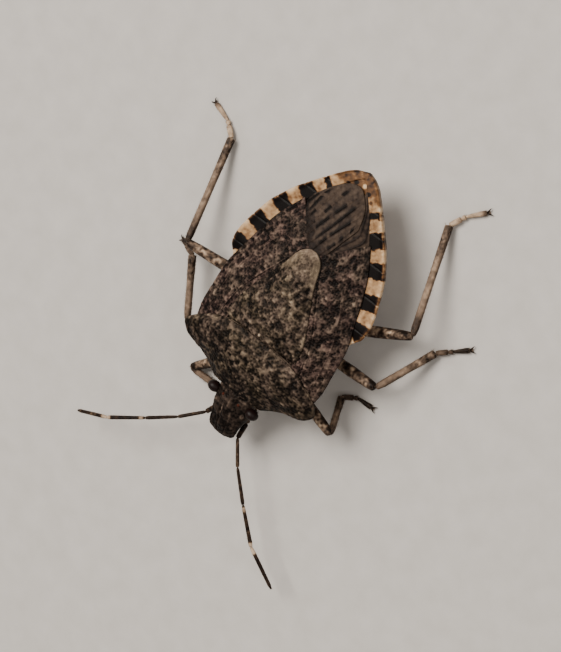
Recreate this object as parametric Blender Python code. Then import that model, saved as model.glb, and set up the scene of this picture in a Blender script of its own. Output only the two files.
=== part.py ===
"""Brown marmorated stink bug: an adult standing still, life size, divided into its named body parts.

The bug is drawn in millimetres in its own frame. X points to its left, Y to its tail and Z up from the
floor, and X = 0, Y = 0 lies midway between its shoulder angles. At the end everything slides so that the
origin is the middle of the base of the whole bug's bounding box.
"""

import math

import bmesh
import bpy
import numpy as np
from mathutils import Matrix, Vector

MM = 0.001
SIDES = {"left": 1, "right": -1}

# Gaps and thicknesses, in millimetres.
PLATE_GAP = 0.25
JOINT_GAP = 0.2
PLATE_THICKNESS = 0.5
WING_EDGE_THICKNESS = 0.4
WING_TIP_THICKNESS = 0.3
RIM_THICKNESS = 0.4

# Head. The stations are (distance along the body, half width or height).
HEAD_FRONT = -4.15
HEAD_BACK = -1.75
HEAD_HALF_WIDTH = [
    (HEAD_FRONT, 0.42), (-4.1, 0.58), (-3.95, 0.76), (-3.7, 0.84), (-3.35, 0.87),
    (-3.0, 0.96), (-2.6, 1.08), (-2.48, 0.95), (HEAD_BACK, 0.95),
]
HEAD_MIDDLE_TOP = [
    (HEAD_FRONT, 2.32), (-3.8, 2.6), (-3.3, 2.85), (-2.8, 3.08), (-2.2, 3.3), (HEAD_BACK, 3.38),
]
HEAD_SIDE_TOP = [
    (HEAD_FRONT, 2.26), (-3.8, 2.42), (-3.0, 2.6), (-2.6, 2.72), (-2.3, 3.0), (HEAD_BACK, 3.05),
]
HEAD_SIDE_BOTTOM = [
    (HEAD_FRONT, 2.12), (-3.8, 2.28), (-3.4, 2.36), (-2.85, 2.38), (-2.4, 2.25), (HEAD_BACK, 2.3),
]
HEAD_MIDDLE_BOTTOM = [(HEAD_FRONT, 2.06), (-3.9, 1.9), (-3.3, 1.84), (-2.5, 1.76), (HEAD_BACK, 1.72)]
# The underside is narrow and deep in front, where the feelers pass beside it, and rounder behind.
HEAD_UNDERSIDE = [(-2.8, 2.5), (-2.3, 0.6)]
HEAD_ROWS = (-4.15, -4.11, -4.02, -3.88, -3.65, -3.35, -3.05, -2.8, -2.6, -2.47, -2.3, -2.0, -1.75)
HEAD_COLUMNS = (0.08, 0.2, 0.3, 0.42, 0.58, 0.75, 0.9, 1.0)
CLYPEUS_GROOVE_AT = 0.3
CLYPEUS_GROOVE_WIDTH = 0.08
CLYPEUS_GROOVE_DEPTH = 0.07
CLYPEUS_END = -2.6
EYE_CENTRE = (1.24, -2.08, 2.95)
EYE_RADII = (0.38, 0.31, 0.35)
EYE_FLAT_AT = 1.13
OCELLUS_PLACE = (0.5, -2.0)
OCELLUS_HEIGHTS = (3.1, 3.3, 3.37)
OCELLUS_RADII = (0.11, 0.11, 0.055)

# Prothorax. The side runs from the front angle round the shoulder: (share of the length, x, y, z).
PRONOTUM_SIDE = [
    (0.0, 1.53, -1.6, 3.0), (0.2, 2.2, -1.17, 3.05), (0.38, 2.8, -0.87, 3.15), (0.54, 3.4, -0.68, 3.3),
    (0.7, 4.05, -0.35, 3.42), (0.8, 4.25, 0.0, 3.5), (0.9, 4.17, 0.32, 3.48), (1.0, 3.9, 0.6, 3.42),
]
PRONOTUM_MIDDLE = [
    (0.0, -1.5, 3.45), (0.3, -0.55, 3.98), (0.6, 0.4, 4.42), (0.85, 1.25, 4.6), (1.0, 1.67, 4.5),
]
PRONOTUM_ROW_BEND = 3
PROSTERNUM_HEIGHT = [(0.0, 1.8), (0.12, 1.65), (0.3, 1.56), (1.0, 1.5)]
UNDERCUT_START = 0.62
UNDERCUT_END = 0.85

# Hind part of the thorax, under the scutellum and the wings.
THORAX_HALF_WIDTH = 3.6
THORAX_FRONT_TOP = 1.42
THORAX_FRONT_BOTTOM = 0.75
THORAX_BACK = 3.95
STERNUM_HEIGHT = 1.5

# Scutellum: (y, half width) and (y, height).
SCUTELLUM_HALF_WIDTH = [
    (1.92, 2.2), (2.75, 2.1), (3.7, 1.8), (4.6, 1.42), (5.3, 1.1), (5.9, 0.88), (6.3, 0.76), (6.6, 0.65),
    (6.85, 0.48), (7.0, 0.28), (7.06, 0.12),
]
SCUTELLUM_CREST = [(1.92, 4.58), (3.0, 4.66), (4.5, 4.6), (6.0, 4.45), (6.6, 4.36), (7.06, 4.22)]
SCUTELLUM_STEP = 0.12
SCUTELLUM_ROWS = (1.92, 2.2, 2.75, 3.3, 3.9, 4.5, 5.1, 5.6, 6.1, 6.5, 6.75, 6.92, 7.02, 7.06)

# Folded wings: outer edge, then the height of the crest and of the outer edge, along the body.
WING_HALF_WIDTH = [
    (0.8, 3.9), (2.5, 3.92), (4.0, 3.9), (4.65, 3.8), (6.2, 3.4), (7.6, 2.9), (8.8, 2.2), (9.9, 1.42),
    (10.7, 0.75), (11.25, 0.25),
]
WING_CREST = [
    (1.0, 4.4), (2.0, 4.42), (4.0, 4.32), (6.0, 4.05), (7.0, 3.9), (8.0, 3.75), (9.0, 3.57), (10.0, 3.4),
    (11.25, 3.2),
]
WING_EDGE = [(1.0, 3.4), (4.0, 3.4), (6.0, 3.36), (8.0, 3.3), (10.0, 3.22), (11.25, 3.15)]
CORIUM_OUTER = [
    (0.0, 3.9, 0.95), (0.2, 3.92, 2.5), (0.4, 3.9, 4.0), (0.5, 3.78, 4.75), (0.7, 3.4, 6.2), (0.88, 2.9, 7.6),
    (1.0, 2.22, 8.75),
]
CORIUM_INNER_FRONT = 1.78
CORIUM_INNER_BACK = 6.85

# Membranes. The right one lies on top, and its veins run from root to edge: (share, x, y).
MEMBRANE_ROOT = [
    (0.0, -2.0, 8.98), (0.25, -1.5, 8.3), (0.5, -1.0, 7.72), (0.75, -0.48, 7.33), (1.0, 0.35, 7.35),
]
MEMBRANE_EDGE = [
    (0.0, -1.9, 9.3), (0.2, -1.05, 10.33), (0.38, -0.35, 11.0), (0.5, 0.1, 11.1), (0.65, 0.5, 10.65),
    (0.82, 0.85, 10.0), (1.0, 1.08, 9.15),
]
VEIN_COUNT = 8
VEIN_HALF_SPREAD = 0.022
VEIN_RAISE = 0.1
LEFT_STRIP_INNER = [
    (0.0, 0.74, 7.56), (0.3, 1.0, 8.3), (0.5, 1.29, 8.98), (0.62, 1.34, 9.3), (0.8, 1.13, 10.0),
    (1.0, 0.82, 10.58),
]
LEFT_STRIP_OUTER = [
    (0.0, 0.84, 7.64), (0.3, 1.42, 8.27), (0.5, 1.98, 8.87), (0.62, 1.82, 9.32), (0.8, 1.4, 9.92),
    (1.0, 0.96, 10.46),
]

# Abdomen: outer rim, its height, and the keel's height below. Segments meet at the suture lines.
ABDOMEN_FRONT = 4.2
ABDOMEN_BACK = 11.62
RIM_HALF_WIDTH = [
    (ABDOMEN_FRONT, 4.05), (4.55, 4.25), (5.38, 4.28), (6.2, 4.13), (7.0, 3.87), (7.77, 3.58), (8.47, 3.17),
    (9.1, 2.75), (9.7, 2.25), (10.23, 1.8), (10.9, 1.2), (11.3, 0.78), (11.52, 0.42), (ABDOMEN_BACK, 0.16),
]
RIM_TOP = [
    (ABDOMEN_FRONT, 2.68), (4.45, 2.7), (4.62, 3.3), (4.8, 3.34), (6.0, 3.3), (8.0, 3.26), (10.0, 3.2),
    (11.0, 3.14), (ABDOMEN_BACK, 3.02),
]
ABDOMEN_ROWS = (
    4.45, 4.62, 5.4, 5.8, 6.2, 7.1, 7.6, 8.55, 9.0, 9.8, 10.7, 11.05, 11.3, 11.44, 11.53,
)
KEEL = [
    (ABDOMEN_FRONT, 1.4), (6.0, 1.35), (8.0, 1.45), (9.5, 1.7), (10.5, 1.95), (11.2, 2.22),
    (ABDOMEN_BACK, 2.6),
]
SUTURES = (4.97, 6.6, 8.1, 9.4, 10.3)
SUTURE_NOTCH = 0.06
SUTURE_GROOVE = 0.05
VENTER_ROUNDNESS = [(4.2, 1.15), (5.0, 0.9), (7.0, 0.5)]
SUTURE_HALF_WIDTH = 0.14
HOLLOW_END = 11.45
RIM_GAP = 0.34
RIM_WALL = 0.12
LEAST_RIM = 0.12

# Rostrum, folded back along the middle of the underside: (y, z, radius).
ROSTRUM = [
    (-3.78, 1.52, 0.12), (-3.55, 1.45, 0.25), (-2.0, 1.22, 0.25), (-0.6, 1.06, 0.25), (0.6, 1.0, 0.25),
    (2.0, 1.0, 0.25), (2.55, 1.03, 0.18), (2.75, 1.05, 0.08),
]

# Feelers: lengths of the five segments, then where each points, as degrees outwards and upwards.
ANTENNA_BASE = (0.88, -3.05, 1.88)
ANTENNA_RADIUS = 0.24
ANTENNA_TIP_RADIUS = 0.1
ANTENNA_SEGMENTS = {"scape": 0.98, "pedicel": 1.52, "middle": 1.95, "fourth": 2.2, "tip": 2.4}
ANTENNA_POSE = {
    "left": [(-3.6, -8.4), (38.7, 11.1), (40.5, -3.3), (43.1, -3.6), (58.0, -7.3)],
    "right": [(27.9, -1.5), (45.3, 14.7), (51.9, -1.8), (55.2, 5.2), (61.2, -19.6)],
}
SOCKET = ((-0.4, 0.6, 0.28), (0.0, 0.42, 0.03), (0.0, 0.15, 0.0))
SOCKET_WAY = (0, -1, 0)
SOCKET_RADII = (0.2, 0.24, 0.2)

# Legs: the place of each coxa, and the lengths of femur, tibia and the two stretches of the tarsus.
HIP_HEIGHT = 1.1
COXAE = {"front": (1.0, 0.05), "middle": (1.1, 2.18), "hind": (0.95, 3.1)}
LEG_LENGTHS = {
    "front": (3.65, 2.35, 0.86, 0.86),
    "middle": (4.17, 3.4, 0.92, 0.88),
    "hind": (5.47, 5.78, 0.95, 1.12),
}
# Each turn is in degrees from straight out to the side, towards the tail. The pose of a leg is the
# turns of its four stretches and the heights at which they end.
LEG_POSE = {
    ("front", "left"): ((-10.1, 128.5, 30.3, 1.9), (2.01, 0.4, 0.26, 0.21)),
    ("front", "right"): ((-47.5, 180.0, 176.0, 168.0), (0.5, 0.42, 0.26, 0.21)),
    ("middle", "left"): ((6.4, 66.8, 39.5, 40.0), (1.91, 0.4, 0.26, 0.21)),
    ("middle", "right"): ((-37.2, 58.5, -1.0, -4.0), (1.73, 1.3, 0.75, 0.1)),
    ("hind", "left"): ((30.5, 111.3, 60.5, 44.0), (2.24, 0.4, 0.26, 0.21)),
    ("hind", "right"): ((-2.4, 74.6, 39.4, 19.1), (2.04, 0.4, 0.26, 0.21)),
}
# Radii along each stretch: (share of its length, radius).
FEMUR_RADII = [(0.0, 0.16), (0.03, 0.22), (0.1, 0.23), (0.3, 0.28), (0.55, 0.305), (0.8, 0.28), (1.0, 0.26)]
TIBIA_RADII = [(0.0, 0.25), (0.5, 0.25), (1.0, 0.27)]
TARSUS_RADII = [(0.0, 0.25), (0.38, 0.25), (0.46, 0.25), (0.92, 0.25), (1.0, 0.14)]
ROUND_END = ((0.12, 0.2), (0.2, 0.12))
COXA_RADIUS = 0.36
COXA_SHAPE = [(1.95, COXA_RADIUS), (1.1, COXA_RADIUS), (0.92, 0.3), (0.8, 0.16)]
CLAW_LENGTH = 0.36
CLAW_SPREAD = 28
CLAW_RADII = (0.12, 0.09, 0.04)

COLOURS = {
    "dark_cuticle": ((0.045, 0.036, 0.032), 0.5),
    "mottled_cuticle": ((0.115, 0.09, 0.07), 0.5),
    "corium": ((0.12, 0.085, 0.075), 0.5),
    "membrane": ((0.11, 0.085, 0.065), 0.35),
    "banded_rim": ((0.42, 0.26, 0.15), 0.45),
    "eye": ((0.02, 0.006, 0.006), 0.15),
    "leg": ((0.2, 0.14, 0.1), 0.45),
    "antenna": ((0.06, 0.04, 0.03), 0.45),
}


def smooth(stations, at):
    """Values on a smooth curve through stations of (place, value, ...), at the given places."""
    table = np.array(stations, float)
    places = table[:, 0]
    values = table[:, 1:]
    slopes = np.gradient(values, places, axis=0)
    at = np.clip(at, places[0], places[-1])
    first = np.clip(np.searchsorted(places, at, side="right") - 1, 0, len(places) - 2)
    width = (places[first + 1] - places[first])[..., None]
    t = (at - places[first])[..., None] / width
    start = (1 + 2 * t) * (1 - t) ** 2 * values[first] + t * (1 - t) ** 2 * width * slopes[first]
    end = (3 - 2 * t) * t**2 * values[first + 1] - t**2 * (1 - t) * width * slopes[first + 1]
    found = start + end
    return found[..., 0] if found.shape[-1] == 1 else found


def stacked(x, y, z):
    """One grid of points from grids, rows or single values of x, y and z."""
    return np.stack(np.broadcast_arrays(x, y, z), axis=-1)


def place_object(name, data, colour):
    """A new object in the bug's collection, in the named colour."""
    made = bpy.data.objects.new(name, data)
    BUG.objects.link(made)
    data.materials.clear()
    data.materials.append(MATERIALS[colour])
    return made


def slab(name, top, bottom, colour):
    """A closed solid between two grids of points, joined along their four borders."""
    rows, columns = top.shape[:2]
    mesh = bmesh.new()
    upper = [[mesh.verts.new(point * MM) for point in row] for row in top]
    lower = [[mesh.verts.new(point * MM) for point in row] for row in bottom]
    for row in range(rows - 1):
        for column in range(columns - 1):
            # The short diagonal of the upper face is used on both faces, so that they can't cross.
            a, b = (row, column), (row, column + 1)
            c, d = (row + 1, column + 1), (row + 1, column)
            if np.linalg.norm(top[a] - top[c]) > np.linalg.norm(top[b] - top[d]):
                a, b, c, d = b, c, d, a
            for grid in (upper, lower):
                mesh.faces.new([grid[i][j] for i, j in (a, b, c)])
                mesh.faces.new([grid[i][j] for i, j in (a, c, d)])
    border = [(0, j) for j in range(columns - 1)]
    border += [(i, columns - 1) for i in range(rows - 1)]
    border += [(rows - 1, j) for j in range(columns - 1, 0, -1)]
    border += [(i, 0) for i in range(rows - 1, 0, -1)]
    for (i, j), (k, m) in zip(border, border[1:] + border[:1]):
        mesh.faces.new((upper[i][j], upper[k][m], lower[k][m]))
        mesh.faces.new((upper[i][j], lower[k][m], lower[i][j]))
    bmesh.ops.recalc_face_normals(mesh, faces=mesh.faces)
    data = bpy.data.meshes.new(name)
    mesh.to_mesh(data)
    mesh.free()
    data.shade_smooth()
    data.set_sharp_from_angle(angle=math.radians(40))
    return place_object(name, data, colour)


def tube(name, points, radii, colour):
    """A round tube through the points with a radius at each, closed at both ends."""
    data = bpy.data.curves.new(name, "CURVE")
    data.dimensions = "3D"
    data.bevel_depth = MM
    data.bevel_resolution = 2
    data.use_fill_caps = True
    spline = data.splines.new("POLY")
    spline.points.add(len(points) - 1)
    for made, point, radius in zip(spline.points, points, radii):
        made.co = (*(Vector(point) * MM), 1)
        made.radius = radius
    return place_object(name, data, colour)


def solid_tube(name, points, radii, colour):
    """The same tube as a mesh, which a union or a cut can take."""
    curve = tube(name, points, radii, colour)
    bpy.context.view_layer.update()
    graph = bpy.context.evaluated_depsgraph_get()
    data = bpy.data.meshes.new_from_object(curve.evaluated_get(graph))
    bpy.data.objects.remove(curve)
    mesh = bmesh.new()
    mesh.from_mesh(data)
    bmesh.ops.remove_doubles(mesh, verts=mesh.verts, dist=MM * 0.001)
    bmesh.ops.recalc_face_normals(mesh, faces=mesh.faces)
    mesh.to_mesh(data)
    mesh.free()
    return place_object(name, data, colour)


def trim(made, place, normal):
    """Cuts a closed mesh flat at a plane, and keeps the side that the normal points to."""
    mesh = bmesh.new()
    mesh.from_mesh(made.data)
    everything = mesh.verts[:] + mesh.edges[:] + mesh.faces[:]
    cut = bmesh.ops.bisect_plane(
        mesh, geom=everything, plane_co=place * MM, plane_no=normal, clear_inner=True
    )
    rim = [piece for piece in cut["geom_cut"] if isinstance(piece, bmesh.types.BMEdge)]
    bmesh.ops.contextual_create(mesh, geom=rim)
    bmesh.ops.recalc_face_normals(mesh, faces=mesh.faces)
    mesh.to_mesh(made.data)
    mesh.free()
    made.data.update()


def join(main, pieces):
    """Fuses the pieces into the main object, and removes them."""
    group = bpy.data.collections.new("pieces")
    for piece in pieces:
        group.objects.link(piece)
    union = main.modifiers.new("union", "BOOLEAN")
    union.operation = "UNION"
    union.operand_type = "COLLECTION"
    union.collection = group
    union.solver = "MANIFOLD"
    bpy.context.view_layer.update()
    graph = bpy.context.evaluated_depsgraph_get()
    fused = bpy.data.meshes.new_from_object(main.evaluated_get(graph))
    main.modifiers.clear()
    main.data = fused
    for piece in pieces:
        bpy.data.objects.remove(piece)
    bpy.data.collections.remove(group)


def wing_height(x, y):
    """Height of the upper side of the folded wings."""
    across = np.clip(np.abs(x) / smooth(WING_HALF_WIDTH, y), 0, 1)
    edge = smooth(WING_EDGE, y)
    return edge + (smooth(WING_CREST, y) - edge) * (1 - across**2)


def wing_thickness(x, y):
    """Thickness of a wing, which thins towards its outer edge and its tip."""
    across = np.clip(np.abs(x) / smooth(WING_HALF_WIDTH, y), 0, 1)
    thickness = PLATE_THICKNESS + (WING_EDGE_THICKNESS - PLATE_THICKNESS) * across**4
    to_tip = np.clip((y - 9.3) / 1.9, 0, 1)
    return thickness + (WING_TIP_THICKNESS - thickness) * to_tip


def under_wings(x, y):
    """Height of the body's upper side where the wings or the scutellum cover it."""
    return wing_height(x, y) - wing_thickness(x, y) - PLATE_GAP


def clypeus_groove(across, y):
    """Depth of the two grooves that set the middle lobe of the face apart from the side lobes."""
    near = np.exp(-(((np.abs(across) - CLYPEUS_GROOVE_AT) / CLYPEUS_GROOVE_WIDTH) ** 2))
    return CLYPEUS_GROOVE_DEPTH * near * np.clip((CLYPEUS_END - y) / 0.4, 0, 1)


def build_head():
    """Head capsule with the sockets of the feelers and the two small simple eyes."""
    y = np.array(HEAD_ROWS)[:, None]
    across = np.concatenate([-np.array(HEAD_COLUMNS)[::-1], HEAD_COLUMNS])
    x = smooth(HEAD_HALF_WIDTH, y) * across
    side = smooth(HEAD_SIDE_TOP, y)
    top = side + (smooth(HEAD_MIDDLE_TOP, y) - side) * (1 - across**2) ** 0.7 - clypeus_groove(across, y)
    low = smooth(HEAD_SIDE_BOTTOM, y)
    narrowing = np.interp(y, *np.transpose(HEAD_UNDERSIDE))
    bottom = low + (smooth(HEAD_MIDDLE_BOTTOM, y) - low) * (1 - across**2) ** narrowing
    head = slab("head", stacked(x, y, top), stacked(x, y, bottom), "dark_cuticle")
    pieces = []
    for sign in SIDES.values():
        socket = [mirrored(Vector(ANTENNA_BASE) + Vector(step), sign) for step in SOCKET]
        pieces.append(solid_tube("socket", socket, SOCKET_RADII, "dark_cuticle"))
        dome = [mirrored((*OCELLUS_PLACE, height), sign) for height in OCELLUS_HEIGHTS]
        pieces.append(solid_tube("ocellus", dome, OCELLUS_RADII, "dark_cuticle"))
    join(head, pieces)


def mirrored(point, sign):
    """The point on the left side, or its mirror image on the right side for a sign of -1."""
    return Vector((point[0] * sign, point[1], point[2]))


def build_eye(side):
    """A compound eye: a ball with its inner side cut flat, against the flat side of the head."""
    sign = SIDES[side]
    mesh = bmesh.new()
    bmesh.ops.create_uvsphere(mesh, u_segments=14, v_segments=9, radius=MM)
    bmesh.ops.scale(mesh, verts=mesh.verts, vec=EYE_RADII)
    bmesh.ops.translate(mesh, verts=mesh.verts, vec=mirrored(EYE_CENTRE, sign) * MM)
    data = bpy.data.meshes.new("eye_" + side)
    mesh.to_mesh(data)
    mesh.free()
    eye = place_object("eye_" + side, data, "eye")
    trim(eye, Vector((sign * EYE_FLAT_AT, 0, 0)), Vector((sign, 0, 0)))
    data.shade_smooth()
    data.set_sharp_from_angle(angle=math.radians(50))


def build_rostrum():
    """The beak, folded back under the head and the thorax."""
    points = [(0, y, z) for y, z, _ in ROSTRUM]
    tube("rostrum", points, [radius for _, _, radius in ROSTRUM], "leg")


def build_pronotum():
    """The prothorax: the shield behind the head, its shoulder angles, and the first pair of coxae."""
    along = np.linspace(0, 1, 14)[:, None]
    across = np.linspace(-1, 1, 25)[None, :]
    side_x, side_y, side_z = np.moveaxis(smooth(PRONOTUM_SIDE, along), -1, 0)
    middle_y, middle_z = np.moveaxis(smooth(PRONOTUM_MIDDLE, along), -1, 0)
    x = side_x * across
    y = middle_y + (side_y - middle_y) * np.abs(across) ** PRONOTUM_ROW_BEND
    top = side_z + (middle_z - side_z) * (1 - np.abs(across) ** 2.2) ** 0.8
    sternum = smooth(PROSTERNUM_HEIGHT, along)
    sternum = sternum + (side_z - RIM_THICKNESS - sternum) * np.abs(across) ** 1.7
    undercut = np.clip((along - UNDERCUT_START) / (UNDERCUT_END - UNDERCUT_START), 0, 1)
    bottom = sternum + (top - PLATE_THICKNESS - sternum) * undercut
    pronotum = slab("pronotum", stacked(x, y, top), stacked(x, y, bottom), "mottled_cuticle")
    join(pronotum, [coxa("front", side) for side in SIDES])


def build_thorax():
    """The hind part of the thorax, under the wings, with the other two pairs of coxae."""
    along = np.linspace(0, 1, 9)[:, None]
    across = np.linspace(-1, 1, 19)[None, :]
    x = THORAX_HALF_WIDTH * across + 0 * along
    bend = np.abs(across) ** 3 * (1 - along)
    top_y = THORAX_FRONT_TOP + (THORAX_BACK - THORAX_FRONT_TOP) * along - 0.4 * bend
    bottom_y = THORAX_FRONT_BOTTOM + (THORAX_BACK - THORAX_FRONT_BOTTOM) * along - 0.1 * bend
    top = under_wings(x, top_y)
    edge = under_wings(THORAX_HALF_WIDTH, top_y) - RIM_THICKNESS
    bottom = STERNUM_HEIGHT + (edge - STERNUM_HEIGHT) * np.abs(across) ** 1.7
    thorax = slab("thorax", stacked(x, top_y, top), stacked(x, bottom_y, bottom), "mottled_cuticle")
    join(thorax, [coxa(pair, side) for pair in ("middle", "hind") for side in SIDES])


def build_scutellum():
    """The long triangular shield between the wings, with its raised rounded tongue."""
    y = np.array(SCUTELLUM_ROWS)[:, None]
    across = np.linspace(-1, 1, 13)[None, :]
    half_width = smooth(SCUTELLUM_HALF_WIDTH, y)
    x = half_width * across
    edge = wing_height(half_width, y) + SCUTELLUM_STEP
    top = edge + (smooth(SCUTELLUM_CREST, y) - edge) * (1 - across**2)
    slab("scutellum", stacked(x, y, top), stacked(x, y, top - PLATE_THICKNESS), "mottled_cuticle")


def build_corium(side):
    """The leathery front part of a fore wing, from the shield's edge to the body's outer edge."""
    sign = SIDES[side]
    along = np.linspace(0, 1, 15)
    across = np.linspace(0, 1, 8)[None, :]
    inner_y = CORIUM_INNER_FRONT + (CORIUM_INNER_BACK - CORIUM_INNER_FRONT) * along
    inner_x = smooth(SCUTELLUM_HALF_WIDTH, inner_y) + 1.2 * PLATE_GAP
    inner = stacked(inner_x, inner_y, 0)[:, :2]
    grid = ruled(inner, smooth(CORIUM_OUTER, along), across)
    wing_slab("corium_" + side, grid * (sign, 1), 0, "corium")


def ruled(first, second, across):
    """Grid of points on straight lines from each point of one curve to its fellow on another."""
    share = across[..., None]
    return first[:, None, :] * (1 - share) + second[:, None, :] * share


def wing_slab(name, grid, raise_by, colour):
    """A wing plate over a grid of (x, y), raised where raise_by says."""
    x, y = grid[..., 0], grid[..., 1]
    height = wing_height(x, y)
    slab(name, stacked(x, y, height + raise_by), stacked(x, y, height - wing_thickness(x, y)), colour)


def build_right_membrane():
    """The clear hind part of the right fore wing, which lies on top, with its veins raised."""
    shares = {0.0, 1.0}
    veins = [(number + 0.5) / VEIN_COUNT for number in range(VEIN_COUNT)]
    for vein in veins:
        shares |= {vein - VEIN_HALF_SPREAD, vein, vein + VEIN_HALF_SPREAD}
    shares = np.array(sorted(shares))
    along = np.linspace(0, 1, 8)
    grid = ruled(smooth(MEMBRANE_ROOT, shares), smooth(MEMBRANE_EDGE, shares), along[None, :])
    is_vein = np.isin(shares, veins)[:, None]
    fade = np.clip((1 - along) / 0.15, 0, 1) * np.clip(along / 0.08, 0, 1)
    wing_slab("membrane_right", grid, VEIN_RAISE * is_vein * fade, "membrane")


def build_left_membrane():
    """The strip of the left wing's membrane that shows beside the right one."""
    along = np.linspace(0, 1, 12)
    across = np.linspace(0, 1, 4)[None, :]
    grid = ruled(smooth(LEFT_STRIP_INNER, along), smooth(LEFT_STRIP_OUTER, along), across)
    wing_slab("membrane_left", grid, 0, "membrane")


def abdomen_rows():
    """Distances along the abdomen: each suture with a row on both sides of it, and rows between."""
    rows = [ABDOMEN_FRONT, *ABDOMEN_ROWS, ABDOMEN_BACK]
    for suture in SUTURES:
        rows += [suture - SUTURE_HALF_WIDTH, suture, suture + SUTURE_HALF_WIDTH]
    return np.array(sorted(rows))


def build_abdomen():
    """The abdomen: keeled below, hollowed above for the wings, with its flat banded rim."""
    y = abdomen_rows()
    at_suture = np.isin(y, SUTURES)
    rim = smooth(RIM_HALF_WIDTH, y) - SUTURE_NOTCH * at_suture
    wall = np.minimum(smooth(WING_HALF_WIDTH, y) + RIM_GAP, np.maximum(rim - LEAST_RIM, 0.5 * rim))
    foot = np.maximum(wall - RIM_WALL, 0.8 * wall)
    inside = np.linspace(-1, 1, 11)
    middle = (rim + wall) / 2
    columns = [-rim, -middle, -wall] + [foot * share for share in inside] + [wall, middle, rim]
    x = np.stack(columns, axis=1)
    y = y[:, None]
    rim_top = smooth(RIM_TOP, y)
    in_hollow = np.zeros(x.shape, bool)
    in_hollow[:, 3:-3] = y < HOLLOW_END
    top = np.where(in_hollow, under_wings(x, y), rim_top)
    across = np.abs(x) / rim[:, None]
    low = rim_top - RIM_THICKNESS
    groove = SUTURE_GROOVE * at_suture[:, None] * (across < 0.95)
    roundness = np.interp(y, *np.transpose(VENTER_ROUNDNESS))
    bottom = low - (low - smooth(KEEL, y)) * (1 - across**2) ** roundness + groove
    slab("abdomen", stacked(x, y, top), stacked(x, y, bottom), "banded_rim")


def direction(turn, rise, sign):
    """Unit vector that points out to the side, turned towards the tail and raised, in degrees."""
    turn, rise = math.radians(turn), math.radians(rise)
    return Vector((sign * math.cos(turn) * math.cos(rise), math.sin(turn) * math.cos(rise), math.sin(rise)))


def limb_piece(name, points, radii, colour, before=None, after=None):
    """A stretch of a limb through the points, cut face to face with the stretches before and after it.

    The directions before and after are those of the neighbours. At such an end the tube runs on past
    the joint with a round end, and is then cut on the plane that halves the bend.
    """
    points = [Vector(point) for point in points]
    radii = list(radii)
    first, last = points[0], points[-1]
    along_start = (points[1] - first).normalized()
    along_end = (last - points[-2]).normalized()
    if before:
        for past, share in ROUND_END:
            points.insert(0, first - along_start * past)
            radii.insert(0, share)
    if after:
        for past, share in ROUND_END:
            points.append(last + along_end * past)
            radii.append(share)
    made = solid_tube(name, points, radii, colour)
    if before:
        middle = (before + along_start).normalized()
        trim(made, first + middle * (JOINT_GAP / 2), middle)
    if after:
        middle = (after + along_end).normalized()
        trim(made, last - middle * (JOINT_GAP / 2), -middle)
    return made


def spread_along(start, end, radii):
    """Points at the shares of the way that the (share, radius) list states, and its radii."""
    return [start.lerp(end, share) for share, _ in radii], [radius for _, radius in radii]


def build_antenna(side):
    """A feeler of five segments, each its own piece."""
    sign = SIDES[side]
    joints = [mirrored(ANTENNA_BASE, sign)]
    for (outwards, rise), length in zip(ANTENNA_POSE[side], ANTENNA_SEGMENTS.values()):
        joints.append(joints[-1] + direction(outwards - 90, rise, sign) * length)
    ways = [(end - start).normalized() for start, end in zip(joints, joints[1:])]
    radii = [(0.0, ANTENNA_RADIUS), (1.0, ANTENNA_RADIUS)]
    tip_radii = [(0.0, ANTENNA_RADIUS), (0.6, ANTENNA_RADIUS), (1.0, ANTENNA_TIP_RADIUS)]
    for number, segment in enumerate(ANTENNA_SEGMENTS):
        before = ways[number - 1] if number else Vector(SOCKET_WAY)
        after = ways[number + 1] if number + 1 < len(ways) else None
        points, widths = spread_along(joints[number], joints[number + 1], radii if after else tip_radii)
        limb_piece(f"antenna_{side}_{segment}", points, widths, "antenna", before, after)


def leg_joints(pair, side):
    """The hip, knee, ankle, middle of the foot and toe of a leg."""
    turns, heights = LEG_POSE[pair, side]
    sign = SIDES[side]
    middle = mirrored((*COXAE[pair], HIP_HEIGHT), sign)
    joints = [middle + direction(turns[0], 0, sign) * (COXA_RADIUS + JOINT_GAP)]
    for turn, height, length in zip(turns, heights, LEG_LENGTHS[pair]):
        rise = math.degrees(math.asin((height - joints[-1].z) / length))
        joints.append(joints[-1] + direction(turn, rise, sign) * length)
    return joints


def coxa(pair, side):
    """The first joint of a leg, which hangs from the underside beside the start of the femur."""
    x, y = COXAE[pair]
    points = [mirrored((x, y, height), SIDES[side]) for height, _ in COXA_SHAPE]
    return solid_tube("coxa", points, [radius for _, radius in COXA_SHAPE], "leg")


def claws(toe, along):
    """The two claws at the end of a foot."""
    made = []
    for spread in (-CLAW_SPREAD, CLAW_SPREAD):
        out = Matrix.Rotation(math.radians(spread), 3, "Z") @ Vector((along.x, along.y, 0)).normalized()
        root = toe - out * 0.15
        middle = toe + out * (CLAW_LENGTH * 0.55) + Vector((0, 0, 0.06))
        tip = toe + out * CLAW_LENGTH
        tip.z = CLAW_RADII[-1]
        made.append(solid_tube("claw", [root, middle, tip], CLAW_RADII, "leg"))
    return made


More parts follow.
